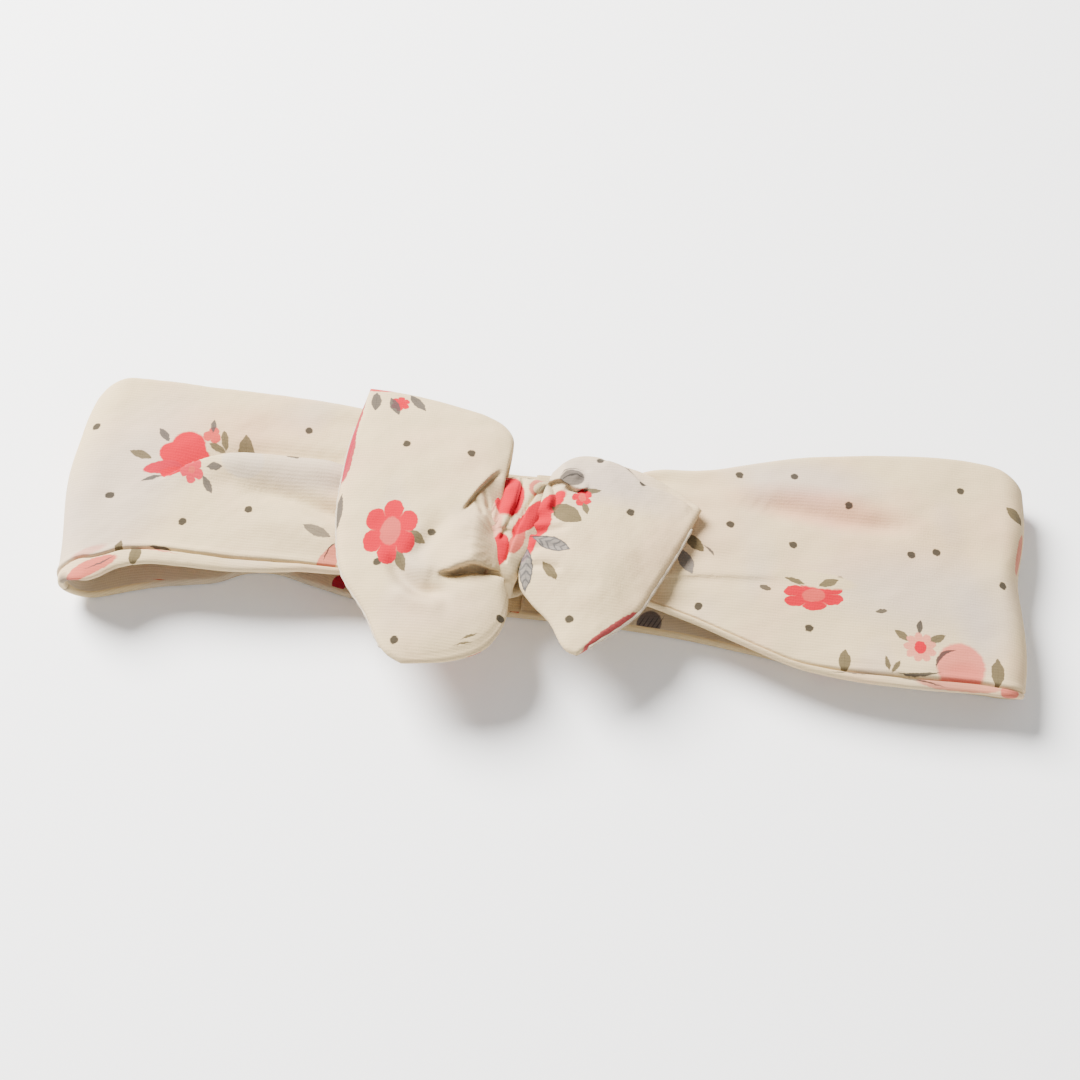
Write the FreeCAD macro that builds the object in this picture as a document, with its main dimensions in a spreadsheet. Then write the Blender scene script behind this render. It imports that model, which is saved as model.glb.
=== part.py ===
"""A knotted jersey headband lying flat, as a parametric FreeCAD document.

The band is a closed loop of knitted tube, pressed flat: a front half on top and a back half
on the table, joined by a soft fold at each end.  A short tie, itself a turned tube, is
knotted round the front half and ends in two flared tails.  Every tube has two plies.

Frame: X runs along the flat band, Y across it, Z up.  The origin is on the underside of the
back seam's outer ply, which rests on the table.  Lengths are in millimetres.
"""

import FreeCAD, Part
import math
import os

from FreeCAD import Placement, Rotation, Vector
from Sketcher import Constraint

# Driving dimensions, one sheet cell each.
DRIVING = {
    "knit": 0.8,                # thickness of one ply of jersey
    "ply_gap": 0.3,             # air between the two plies of a tube along its edges
    "flat_width": 56.0,         # width of the pressed band tube where nothing gathers it
    "plate_gap": 1.1,           # hinge line to the back seam's ends, so that they never meet
    "hinge_back_left": -13.5,   # X of the line where the band bends, left of the knot
    "hinge_back_right": 7.0,    # and right of it
    "knot_height": 10.5,        # Z of the gathered band where it passes through the knot
    "gather_radius": 2.6,       # half thickness of the bunched band beside the knot
    "core_radius": 2.4,         # and inside it
    "core_start": -10.5,        # X span of the band inside the knot
    "core_end": 2.5,
    "core_low": -15.0,          # Y span of the gathered band
    "core_high": 7.2,
    "left_fold_x": -93.0,
    "left_fold_radius": 7.0,
    "right_fold_x": 96.0,
    "right_fold_radius": 5.5,
    "seam_inset": 4.5,          # lengthwise seam to the band's lower edge
    "stitch_width": 0.35,
    "stitch_length": 2.0,
    "stitch_pitch": 2.8,
    "turn_gap": 0.5,            # air between the gathered band and the turn of the tie
    "turn_squareness": 0.62,    # below 1 squares the oval of the turn round the band's corners
    "front_turn_x": -4.6,       # middle of the tie's front turn at its upper end
    "front_turn_upper": 9.2,    # its width at the upper end, in the middle and at the lower end
    "front_turn_middle": 8.4,
    "front_turn_lower": 5.0,
    "front_turn_thick": 5.0,
    "front_turn_lean": 2.6,     # how far its lower end leans left
    "back_turn_middle": 11.0,
    "back_turn_thick": 3.0,
    "neck_radius": 2.2,
    "left_neck_x": -12.8,
    "left_neck_low": -4.0,      # span of the left neck across the tail, from its hinge centre
    "left_neck_high": 15.0,
    "left_neck_height": 15.6,
    "left_tail_angle": 180.0,   # direction of the tail in plan, from +X
    "right_neck_x": 3.6,
    "right_neck_y": -5.4,
    "right_neck_low": -9.0,
    "right_neck_high": 10.0,
    "right_neck_height": 15.6,
    "right_tail_angle": -27.0,
    "seam_low": -17.4,          # Y span of the band at the back seam
    "seam_high": 18.0,
    "seam_x": -3.2,             # the line of the closing seam
    "allowance_width": 5.0,
    "allowance_inset": 0.6,
}

# Each panel of the band or of a tail is given by seven stations along its length:
# (x, low edge y, high edge y, middle height, crown of the upper ply, sag of the lower ply).
# The x and y of a tail are in its own frame, x running outwards from its hinge line.
PANELS = {
    "front_left": [
        (-92.7, -24.4, 25.6, 13.05, 0.3, 0.3),
        (-84.0, -20.0, 25.6, 12.90, 0.9, 0.6),
        (-70.0, -19.2, 25.5, 12.60, 1.3, 0.9),
        (-54.0, -17.7, 24.9, 12.00, 1.5, 1.0),
        (-40.0, -16.9, 23.3, 11.50, 1.5, 1.0),
        (-27.0, -16.0, 18.4, 11.00, 1.2, 0.8),
        (-16.2, -14.4, 8.6, 10.50, 0.5, 0.5),
    ],
    "front_right": [
        (9.7, -14.6, 9.0, 10.50, 0.5, 0.5),
        (20.0, -14.8, 16.0, 10.50, 1.1, 0.8),
        (32.0, -17.4, 17.5, 10.50, 1.4, 1.0),
        (45.0, -22.4, 20.7, 10.40, 1.5, 1.0),
        (60.0, -27.2, 24.2, 10.30, 1.3, 0.9),
        (78.0, -28.8, 26.1, 10.10, 0.9, 0.6),
        (95.7, -28.6, 25.8, 10.05, 0.3, 0.3),
    ],
    "back_left": [
        (-92.7, -24.4, 25.6, 1.08, 0.3, 0.0),
        (-82.0, -18.2, 26.0, 1.12, 0.5, 0.0),
        (-70.0, -14.6, 26.4, 1.21, 0.6, 0.0),
        (-57.0, -13.4, 26.0, 1.26, 0.6, 0.0),
        (-42.0, -14.6, 23.6, 1.28, 0.6, 0.0),
        (-28.0, -16.0, 20.4, 1.33, 0.5, 0.0),
        (-13.5, -17.4, 18.0, 1.36, 0.2, 0.0),
    ],
    "back_right": [
        (7.0, -17.4, 18.0, 1.36, 0.2, 0.0),
        (20.0, -17.8, 18.4, 1.36, 0.5, 0.0),
        (32.0, -18.2, 19.2, 1.32, 0.6, 0.0),
        (45.0, -18.4, 20.6, 1.26, 0.6, 0.0),
        (58.0, -20.6, 22.8, 1.18, 0.6, 0.0),
        (76.0, -23.6, 24.8, 1.06, 0.5, 0.0),
        (95.7, -28.6, 25.8, 0.98, 0.3, 0.0),
    ],
    "left_tail": [
        (2.6, -20.8, 34.0, 15.60, 0.9, 0.4),
        (6.0, -22.4, 36.6, 15.70, 2.0, 0.5),
        (11.5, -23.8, 38.2, 15.80, 3.0, 0.6),
        (16.0, -24.2, 36.0, 16.00, 3.2, 0.6),
        (21.0, -24.6, 28.0, 16.10, 2.8, 0.6),
        (27.0, -25.2, 19.6, 16.20, 1.8, 0.6),
        (30.2, -21.0, 12.0, 16.20, 0.7, 0.4),
    ],
    "right_tail": [
        (2.6, -14.8, 21.6, 15.50, 0.9, 0.4),
        (6.0, -16.4, 22.8, 15.50, 1.8, 0.5),
        (9.5, -17.5, 23.4, 15.50, 2.5, 0.6),
        (13.5, -19.8, 23.2, 15.40, 2.7, 0.6),
        (17.5, -21.0, 22.8, 15.40, 2.3, 0.6),
        (20.8, -14.5, 22.2, 15.40, 1.5, 0.5),
        (23.0, -6.0, 15.0, 15.40, 0.7, 0.4),
    ],
}
STATION = ("x", "low", "high", "mid", "crown", "sag")
LETTERS = "abcdefg"
FLAT_CROWN = 0.02               # an arc needs a little rise even where a ply lies flat

# The seam that closes each tail's free end, in the tail's own frame.
END_SEAMS = {
    "left_tail": [(27.0, -22.0), (28.4, -10.0), (28.4, 0.0), (27.0, 10.0), (22.0, 21.0), (16.0, 30.5)],
    "right_tail": [(19.4, 19.0), (20.6, 8.0), (20.6, -2.0), (18.6, -12.0), (16.4, -17.0)],
}

doc = FreeCAD.newDocument("knotted_headband")
sheet = doc.addObject("Spreadsheet::Sheet", "Sizes")
finished = []                   # the objects that become node files


def fill_sheet():
    """Writes every driving dimension and station into the sheet."""
    cells = dict(DRIVING)
    for panel, stations in PANELS.items():
        for letter, station in zip(LETTERS, stations):
            for name, value in zip(STATION, station):
                cells[f"{panel}_{letter}_{name}"] = value
    for row, (alias, value) in enumerate(cells.items(), 1):
        sheet.set(f"A{row}", alias)
        sheet.set(f"B{row}", str(value))
        sheet.setAlias(f"B{row}", alias)
    doc.recompute()


def size(alias):
    """The number in a sheet cell."""
    return float(sheet.get(alias))


def sized(alias):
    """The number in a sheet cell, with the expression that binds to it."""
    return size(alias), f"Sizes.{alias}"


def new_body(label):
    body = doc.addObject("PartDesign::Body", label)
    body.Label = label
    finished.append(body)
    return body


def new_sketch(body, name, role="YZ_Plane"):
    """A sketch on one of the body's own origin planes."""
    sketch = body.newObject("Sketcher::SketchObject", name)
    plane = next(f for f in body.Origin.OriginFeatures if f.Role == role)
    sketch.AttachmentSupport = [(plane, "")]
    sketch.MapMode = "FlatFace"
    return sketch


def drive(sketch, constraints):
    """Adds constraints whose values follow the sheet."""
    for constraint, expression in constraints:
        sketch.setExpression(f"Constraints[{sketch.addConstraint(constraint)}]", expression)


def crescent(sketch, low, high, base, thick, crown, upwards):
    """A thin curved section of cloth: two equal arcs, one thickness apart.

    Each measure is a number with its expression.  The base is the height of the section's
    lower corners, and the crown is how far the middle rises or sags from them.
    """
    half = (high[0] - low[0]) / 2
    radius = (half * half + crown[0] * crown[0]) / (2 * crown[0])
    spread = math.asin(half / radius)
    sign = 1 if upwards else -1
    turn = sign * math.pi / 2
    centre = Vector((low[0] + high[0]) / 2, base[0] + sign * (crown[0] - radius), 0)
    right_end, left_end = (1, 2) if upwards else (2, 1)
    lift = Vector(0, thick[0], 0)
    lower_left, lower_right = Vector(low[0], base[0], 0), Vector(high[0], base[0], 0)
    edges = [
        Part.ArcOfCircle(Part.Circle(centre, Vector(0, 0, 1), radius), turn - spread, turn + spread),
        Part.LineSegment(lower_right, lower_right + lift),
        Part.ArcOfCircle(Part.Circle(centre + lift, Vector(0, 0, 1), radius), turn - spread, turn + spread),
        Part.LineSegment(lower_left + lift, lower_left),
    ]
    for edge in edges:
        sketch.addGeometry(edge, False)
    sketch.addConstraint([
        Constraint("Coincident", 0, right_end, 1, 1),
        Constraint("Coincident", 1, 2, 2, right_end),
        Constraint("Coincident", 2, left_end, 3, 1),
        Constraint("Coincident", 3, 2, 0, left_end),
        Constraint("Vertical", 1),
        Constraint("Vertical", 3),
    ])
    bow = f"((({high[1]}) - ({low[1]}))^2 / 4 + ({crown[1]})^2) / (2 * ({crown[1]}))"
    drive(sketch, [
        (Constraint("DistanceY", 1, 1, 1, 2, thick[0]), thick[1]),
        (Constraint("DistanceY", 3, 2, 3, 1, thick[0]), thick[1]),
        (Constraint("DistanceX", -1, 1, 1, 1, high[0]), high[1]),
        (Constraint("DistanceX", -1, 1, 3, 2, low[0]), low[1]),
        (Constraint("DistanceY", -1, 1, 1, 1, base[0]), base[1]),
        (Constraint("DistanceY", -1, 1, 3, 2, base[0]), base[1]),
        (Constraint("Radius", 0, radius), bow),
        (Constraint("Radius", 2, radius), bow),
    ])


def ply(label, panel, upper, place=None):
    """One ply of a panel: a loft through its stations, thicker where the cloth is gathered."""
    body = new_body(label)
    sketches = []
    for letter in LETTERS:
        key = f"{panel}_{letter}_"
        low, high, mid = sized(key + "low"), sized(key + "high"), sized(key + "mid")
        thick = sized("knit")
        if "tail" not in panel:
            gathered = size("flat_width") / (high[0] - low[0])
            thick = (size("knit") * gathered, f"Sizes.knit * Sizes.flat_width / ({high[1]} - {low[1]})")
        half_gap = size("ply_gap") / 2
        if upper:
            base = (mid[0] + half_gap, f"{mid[1]} + Sizes.ply_gap / 2")
        else:
            base = (mid[0] - half_gap - thick[0], f"{mid[1]} - Sizes.ply_gap / 2 - {thick[1]}")
        bend = sized(key + ("crown" if upper else "sag"))
        bend = (bend[0] + FLAT_CROWN, f"({bend[1]} + {FLAT_CROWN})")
        sketch = new_sketch(body, f"{label}_{letter}")
        sketch.setExpression("AttachmentOffset.Base.z", f"Sizes.{key}x")
        crescent(sketch, low, high, base, thick, bend, upper)
        sketches.append(sketch)
    loft = body.newObject("PartDesign::AdditiveLoft", f"{label}_loft")
    loft.Profile = sketches[0]
    loft.Sections = sketches[1:]
    loft.Ruled = True
    body.Tip = loft
    if place:
        body.Placement = place
    return body


def fold(label, side, end_key, depth):
    """One ply of the soft fold at an end of the band: half a turn about the fold's own line."""
    body = new_body(label)
    sketch = new_sketch(body, f"{label}_section")
    sketch.setExpression("AttachmentOffset.Base.z", f"Sizes.{side}_fold_x")
    sketch.setExpression("AttachmentOffset.Base.y", f"Sizes.{side}_fold_radius")
    low, high = sized(end_key + "low"), sized(end_key + "high")
    outer = size(f"{side}_fold_radius") - depth * (size("knit") + size("ply_gap"))
    inner = outer - size("knit")
    outer_text = f"Sizes.{side}_fold_radius - {depth} * (Sizes.knit + Sizes.ply_gap)"
    corners = [
        Vector(low[0], inner, 0),
        Vector(high[0], inner, 0),
        Vector(high[0], outer, 0),
        Vector(low[0], outer, 0),
    ]
    for start, end in zip(corners, corners[1:] + corners[:1]):
        sketch.addGeometry(Part.LineSegment(start, end), False)
    sketch.addConstraint([
        Constraint("Coincident", 0, 2, 1, 1),
        Constraint("Coincident", 1, 2, 2, 1),
        Constraint("Coincident", 2, 2, 3, 1),
        Constraint("Coincident", 3, 2, 0, 1),
        Constraint("Horizontal", 0),
        Constraint("Horizontal", 2),
        Constraint("Vertical", 1),
        Constraint("Vertical", 3),
    ])
    drive(sketch, [
        (Constraint("DistanceX", -1, 1, 0, 1, low[0]), low[1]),
        (Constraint("DistanceX", -1, 1, 0, 2, high[0]), high[1]),
        (Constraint("DistanceY", -1, 1, 0, 1, inner), f"{outer_text} - Sizes.knit"),
        (Constraint("DistanceY", -1, 1, 2, 1, outer), outer_text),
    ])
    turn = body.newObject("PartDesign::Revolution", f"{label}_turn")
    turn.Profile = sketch
    turn.ReferenceAxis = (sketch, ["H_Axis"])
    turn.Angle = 180.0
    turn.Reversed = side == "left"
    body.Tip = turn
    return body


def roll(label, across, low, high, height, radius, place=None):
    """A bunched neck of cloth: a round roll along its own hinge line, with domed ends."""
    body = new_body(label)
    sketch = new_sketch(body, f"{label}_circle", "XZ_Plane")
    sketch.setExpression("AttachmentOffset.Base.z", f"-({low})")
    sketch.addGeometry(Part.Circle(Vector(1, 1, 0), Vector(0, 0, 1), 2.0), False)
    drive(sketch, [
        (Constraint("DistanceX", -1, 1, 0, 3, 1.0), across),
        (Constraint("DistanceY", -1, 1, 0, 3, 1.0), height),
        (Constraint("Radius", 0, 2.0), radius),
    ])
    pad = body.newObject("PartDesign::Pad", f"{label}_pad")
    pad.Profile = sketch
    pad.setExpression("Length", f"{high} - ({low})")
    pad.Reversed = True
    doc.recompute()
    ends = body.newObject("PartDesign::Fillet", f"{label}_ends")
    ends.Base = (pad, [f"Edge{i}" for i, edge in enumerate(pad.Shape.Edges, 1) if edge.isClosed()])
    ends.setExpression("Radius", f"{radius} * 0.45")
    body.Tip = ends
    if place:
        body.Placement = place
    return body


def plate(label, left, right, low, high, base, thick):
    """A flat rectangle of cloth at the back seam."""
    box = doc.addObject("Part::Box", label)
    box.Label = label
    box.setExpression("Placement.Base.x", left)
    box.setExpression("Placement.Base.y", low)
    box.setExpression("Placement.Base.z", base)
    box.setExpression("Length", f"({right}) - ({left})")
    box.setExpression("Width", f"({high}) - ({low})")
    box.setExpression("Height", thick)
    finished.append(box)
    return box


def fixed_shape(label, shape, place=None):
    """A node whose shape no body feature describes, such as a row of stitches."""
    node = doc.addObject("Part::Feature", label)
    node.Label = label
    node.Shape = shape
    if place:
        node.Placement = place
    finished.append(node)
    return node


def stitch(start, end):
    """One stitch: a straight round thread between two points."""
    along = end - start
    return Part.makeCylinder(size("stitch_width") / 2, along.Length, start, along)


def stitches_along(path):
    """A row of stitches along a polyline."""
    pitch, long = size("stitch_pitch"), size("stitch_length")
    rods = []
    for start, end in zip(path, path[1:]):
        run = end - start
        count = max(1, round(run.Length / pitch))
        step = run.Length / count
        run.normalize()
        for number in range(count):
            first = start + run * (number * step + (step - long) / 2)
            rods.append(stitch(first, first + run * long))
    return Part.makeCompound(rods)


def lengthwise_seam(label, panel):
    """The closing seam of the band's tube: stitches between its plies, beside the low edge."""
    path = []
    for letter in LETTERS[1:-1]:
        x, low, high, mid, crown, sag = (size(f"{panel}_{letter}_{name}") for name in STATION)
        inset = size("seam_inset")
        half = (high - low) / 2
        share = 1 - ((half - inset) / half) ** 2        # how much of the crown is left so near the edge
        path.append(Vector(x, low + inset, mid + share * (crown - sag) / 2))
    return fixed_shape(label, stitches_along(path))


def turn_of_tie(label, above):
    """Half of the tie's turn round the band: a loft of ellipses along a half-oval path."""
    side_thick = size("back_turn_thick")
    thick = size("front_turn_thick") if above else side_thick
    middle_width = size("front_turn_middle") if above else size("back_turn_middle")
    middle = (size("core_low") + size("core_high")) / 2
    reach = (size("core_high") - size("core_low")) / 2 + size("turn_gap") + side_thick / 2
    tall = size("core_radius") + size("turn_gap") + thick / 2
    upwards = 1 if above else -1
    steps = 12
    rings = []
    for step in range(steps + 1):
        share = step / steps        # 0 at the turn's upper end in plan, 1 at its lower end
        c, s = math.cos(math.pi * share), math.sin(math.pi * share)
        arch = abs(s) ** size("turn_squareness")
        lean = size("front_turn_lean") * share
        half_gap = size("ply_gap") / 2 if step in (0, steps) else 0.0
        centre = Vector(
            size("front_turn_x") - lean,
            middle + reach * math.copysign(abs(c) ** size("turn_squareness"), c),
            size("knot_height") + upwards * (tall * arch + half_gap),
        )
        width = size("front_turn_upper") * (1 - share) + size("front_turn_lower") * share
        width += (middle_width - width) * s
        depth = side_thick + (thick - side_thick) * arch
        across = Vector(1, 0, 0)
        ahead = Vector(0, -reach * s, upwards * tall * c)
        ahead.normalize()
        outwards = ahead.cross(across)
        turned = FreeCAD.Matrix(
            across.x, outwards.x, ahead.x, centre.x,
            across.y, outwards.y, ahead.y, centre.y,
            across.z, outwards.z, ahead.z, centre.z,
            0, 0, 0, 1,
        )
        ellipse = Part.Ellipse(Vector(0, 0, 0), width / 2, depth / 2).toShape()
        rings.append(Part.Wire([ellipse.transformGeometry(turned)]))
    return fixed_shape(label, Part.makeLoft(rings, True, False))


def core():
    """The bunched band inside the knot: a flat oval bar along X."""
    body = new_body("band_gather")
    sketch = new_sketch(body, "band_gather_section")
    sketch.setExpression("AttachmentOffset.Base.z", "Sizes.core_start")
    low, high, height, radius = (
        size(alias) for alias in ("core_low", "core_high", "knot_height", "core_radius")
    )
    left, right = Vector(low + radius, height, 0), Vector(high - radius, height, 0)
    up = Vector(0, radius, 0)
    half = math.pi / 2
    sketch.addGeometry(Part.ArcOfCircle(Part.Circle(left, Vector(0, 0, 1), radius), half, 3 * half), False)
    sketch.addGeometry(Part.LineSegment(left - up, right - up), False)
    sketch.addGeometry(Part.ArcOfCircle(Part.Circle(right, Vector(0, 0, 1), radius), -half, half), False)
    sketch.addGeometry(Part.LineSegment(right + up, left + up), False)
    sketch.addConstraint([
        Constraint("Tangent", 0, 2, 1, 1),
        Constraint("Tangent", 1, 2, 2, 1),
        Constraint("Tangent", 2, 2, 3, 1),
        Constraint("Tangent", 3, 2, 0, 1),
        Constraint("Horizontal", 1),
    ])
    drive(sketch, [
        (Constraint("Radius", 0, radius), "Sizes.core_radius"),
        (Constraint("DistanceY", -1, 1, 0, 3, height), "Sizes.knot_height"),
        (Constraint("DistanceX", -1, 1, 0, 3, left.x), "Sizes.core_low + Sizes.core_radius"),
        (Constraint("DistanceX", -1, 1, 2, 3, right.x), "Sizes.core_high - Sizes.core_radius"),
    ])
    pad = body.newObject("PartDesign::Pad", "band_gather_pad")
    pad.Profile = sketch
    pad.setExpression("Length", "Sizes.core_end - Sizes.core_start")
    body.Tip = pad


def back_seam():
    """The short flat section at the middle of the back, with the seam that closes the loop."""
    ends = ("Sizes.hinge_back_left + Sizes.plate_gap", "Sizes.hinge_back_right - Sizes.plate_gap")
    sides = ("Sizes.seam_low", "Sizes.seam_high")
    step = "(Sizes.knit + Sizes.ply_gap)"
    plate("back_seam_outer_ply", *ends, *sides, "0", "Sizes.knit")
    plate("back_seam_inner_ply", *ends, *sides, step, "Sizes.knit")
    plate(
        "back_seam_allowance",
        "Sizes.seam_x", "Sizes.seam_x + Sizes.allowance_width",
        "Sizes.seam_low + Sizes.allowance_inset", "Sizes.seam_high - Sizes.allowance_inset",
        f"2 * {step}", "Sizes.knit * 1.4",
    )
    top = 2 * (size("knit") + size("ply_gap")) + size("knit") * 1.4
    height = top + size("stitch_width") / 2 + 0.02
    inset = size("allowance_inset")
    start = size("seam_x") + inset
    reach = size("allowance_width") - 2 * inset
    rods = []
    y = size("seam_low") + 2.0
    while y < size("seam_high") - 3.0:
        rods.append(stitch(Vector(start, y, height), Vector(start + reach, y + 0.8, height)))
        y += size("stitch_pitch") * 0.75
    fixed_shape("back_seam_thread", Part.makeCompound(rods))


def half_band(side):
    """The plies, folds, bunched end and seams of the band on one side of the knot."""
    front, back = f"front_{side}", f"back_{side}"
    fold_end = "a" if side == "left" else "g"
    ply(f"{front}_outer_ply", front, True)
    ply(f"{front}_inner_ply", front, False)
    ply(f"{back}_inner_ply", back, True)
    ply(f"{back}_outer_ply", back, False)
    fold(f"{side}_fold_outer_ply", side, f"{back}_{fold_end}_", 0)
    fold(f"{side}_fold_inner_ply", side, f"{back}_{fold_end}_", 1)
    roll(f"{front}_gather", f"Sizes.hinge_back_{side}", "Sizes.core_low", "Sizes.core_high",
         "Sizes.knot_height", "Sizes.gather_radius")
    lengthwise_seam(f"{front}_seam_thread", front)
    lengthwise_seam(f"{back}_seam_thread", back)


def tail(side, hinge):
    """One tail of the tie: two plies, a bunched neck at the knot and the seam at its free end."""
    name = f"{side}_tail"
    place = Placement(hinge, Rotation(Vector(0, 0, 1), size(f"{name}_angle")))
    ply(f"{name}_top_ply", name, True, place)
    ply(f"{name}_under_ply", name, False, place)
    roll(f"{name}_neck", "0", f"Sizes.{side}_neck_low", f"Sizes.{side}_neck_high",
         f"Sizes.{side}_neck_height", "Sizes.neck_radius", place)
    height = size(f"{name}_g_mid")
    path = [Vector(x, y, height) for x, y in END_SEAMS[name]]
    fixed_shape(f"{name}_end_thread", stitches_along(path), place)


def check(node):
    """Stops the build if a node isn't made of valid solids."""
    shape = node.Shape
    if shape.isNull() or not shape.isValid() or not shape.Solids:
        raise SystemExit(f"{node.Label} isn't a valid solid")
    if min(solid.Volume for solid in shape.Solids) <= 0:
        raise SystemExit(f"{node.Label} is inside out")


fill_sheet()
back_seam()
core()
turn_of_tie("knot_front_turn", True)
turn_of_tie("knot_back_turn", False)
half_band("left")
half_band("right")
tail("left", Vector(size("left_neck_x"), 0, 0))
tail("right", Vector(size("right_neck_x"), size("right_neck_y"), 0))
doc.recompute()

for member in doc.Objects:
    if "Invalid" in member.State or "Error" in member.State:
        raise SystemExit(f"{member.Name} failed to compute: {member.State}")
os.makedirs("parts", exist_ok=True)
for member in finished:
    check(member)
    member.Shape.exportStep(f"parts/{member.Label}.step")
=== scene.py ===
"""Looks for the knotted headband: printed cotton jersey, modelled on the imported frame.

The band is a tube of jersey laid flat: each half is one surface that runs along the back, round
the soft fold at the end and along the front to the knot.  It is cut into pieces that each cross
one joint.  Plan measures below are millimetres in the row frame, and meshes are in metres.
"""

import math

import bpy
import numpy as np
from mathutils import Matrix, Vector


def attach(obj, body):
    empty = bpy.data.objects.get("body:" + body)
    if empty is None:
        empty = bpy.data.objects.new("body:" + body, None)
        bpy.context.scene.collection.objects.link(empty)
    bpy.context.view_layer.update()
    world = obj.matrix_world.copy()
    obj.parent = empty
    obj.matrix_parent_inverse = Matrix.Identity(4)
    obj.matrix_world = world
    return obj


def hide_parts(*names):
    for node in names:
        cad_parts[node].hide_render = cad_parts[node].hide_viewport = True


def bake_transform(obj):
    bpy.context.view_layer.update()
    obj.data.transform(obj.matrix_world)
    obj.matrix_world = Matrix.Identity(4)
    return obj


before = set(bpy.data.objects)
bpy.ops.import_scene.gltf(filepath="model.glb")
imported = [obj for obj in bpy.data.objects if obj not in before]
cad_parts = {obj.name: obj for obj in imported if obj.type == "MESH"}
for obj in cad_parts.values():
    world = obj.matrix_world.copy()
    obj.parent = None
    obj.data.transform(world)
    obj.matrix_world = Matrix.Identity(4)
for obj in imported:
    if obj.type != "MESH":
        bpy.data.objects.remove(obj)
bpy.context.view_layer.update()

MM = 0.001

# ---------------------------------------------------------------- curves


def smooth(table, at, column=1):
    """A table's column at the given x values, through a cubic that doesn't overshoot."""
    rows = np.array(sorted(table), float)
    xs, ys = rows[:, 0], rows[:, column]
    at = np.asarray(at, float)
    slope = np.diff(ys) / np.diff(xs)
    tangent = np.concatenate([slope[:1], (slope[1:] + slope[:-1]) / 2, slope[-1:]])
    tangent[1:-1][slope[1:] * slope[:-1] <= 0] = 0
    k = np.clip(np.searchsorted(xs, at) - 1, 0, len(slope) - 1)
    run = xs[k + 1] - xs[k]
    t = np.clip((at - xs[k]) / run, 0, 1)
    return (
        ys[k] * (1 + 2 * t) * (1 - t) ** 2
        + ys[k + 1] * t * t * (3 - 2 * t)
        + tangent[k] * run * t * (1 - t) ** 2
        - tangent[k + 1] * run * t * t * (1 - t)
    )


def spline(points, shares):
    """Points at the given shares of the length of a smooth line through points."""
    points = np.array(points, float)
    reach = np.concatenate([[0], np.cumsum(np.linalg.norm(np.diff(points, axis=0), axis=1))])
    columns = []
    for column in points.T:
        columns.append(smooth(list(zip(reach, column)), np.asarray(shares) * reach[-1]))
    return np.stack(columns, -1)


def ease(t):
    t = np.clip(t, 0, 1)
    return t * t * (3 - 2 * t)


def bell(d, width):
    return np.exp(-((d / width) ** 2))


def squared_off(wave, power):
    """A sine or cosine whose shoulders are pushed out, for a squarer round."""
    return np.sign(wave) * np.abs(wave) ** power


def closed(plan):
    """A ring's print places with its first column repeated at the end."""
    return [np.concatenate([plan, plan[:, :1]], 1)]


def place(name, data):
    made = bpy.data.objects.new(name, data)
    bpy.context.scene.collection.objects.link(made)
    return made


def near(path, x, y, ends=0.12):
    """Signed distance from a plan line (left side positive), its left normal, and an end fade."""
    line = spline(path, np.linspace(0, 1, 80))
    step = np.gradient(line, axis=0)
    step /= np.linalg.norm(step, axis=1)[:, None]
    away = np.stack([x[..., None] - line[:, 0], y[..., None] - line[:, 1]], -1)
    squared = (away ** 2).sum(-1)
    k = squared.argmin(-1)
    chosen = np.take_along_axis(away, k[..., None, None], -2)[..., 0, :]
    tangent = step[k]
    side = tangent[..., 0] * chosen[..., 1] - tangent[..., 1] * chosen[..., 0]
    distance = np.sqrt(squared.min(-1)) * np.where(side < 0, -1, 1)
    share = k / 79.0
    fade = ease(share / ends) * ease((1 - share) / ends)
    normal = np.stack([-tangent[..., 1], tangent[..., 0]], -1)
    return distance, normal, fade


def ridge(p, x, y, path, height, width, ends=0.25):
    """Raises (or sinks) the cloth along a plan line."""
    d, _, fade = near(path, x, y, ends)
    p[..., 2] += height * bell(d, width) * fade


def ridges(p, x, y, rows):
    for path, *size in rows:
        ridge(p, x, y, path, *size)


def tuck(p, x, y, path, rise, over, soft, reach, ends=0.2):
    """Folds the cloth on a line's left side up over its right side."""
    d, normal, fade = near(path, x, y, ends)
    k = np.tanh(d / soft) * bell(d, reach) * fade
    p[..., 2] += rise * k
    p[..., :2] -= over * k[..., None] * normal


def ripple(x, y, scale, seed, octaves=2):
    """Smooth seeded noise over the plan, about -1 to 1."""
    noise = np.random.default_rng(seed)
    total = np.zeros_like(x)
    for octave in range(octaves):
        for _ in range(7):
            turn = noise.uniform(0, math.tau)
            k = math.tau / (scale * noise.uniform(0.7, 1.5)) * 2 ** octave
            phase = noise.uniform(0, math.tau)
            total += np.sin(k * (x * math.cos(turn) + y * math.sin(turn)) + phase) / 2 ** octave
    return total / 5


# ---------------------------------------------------------------- meshes


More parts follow.
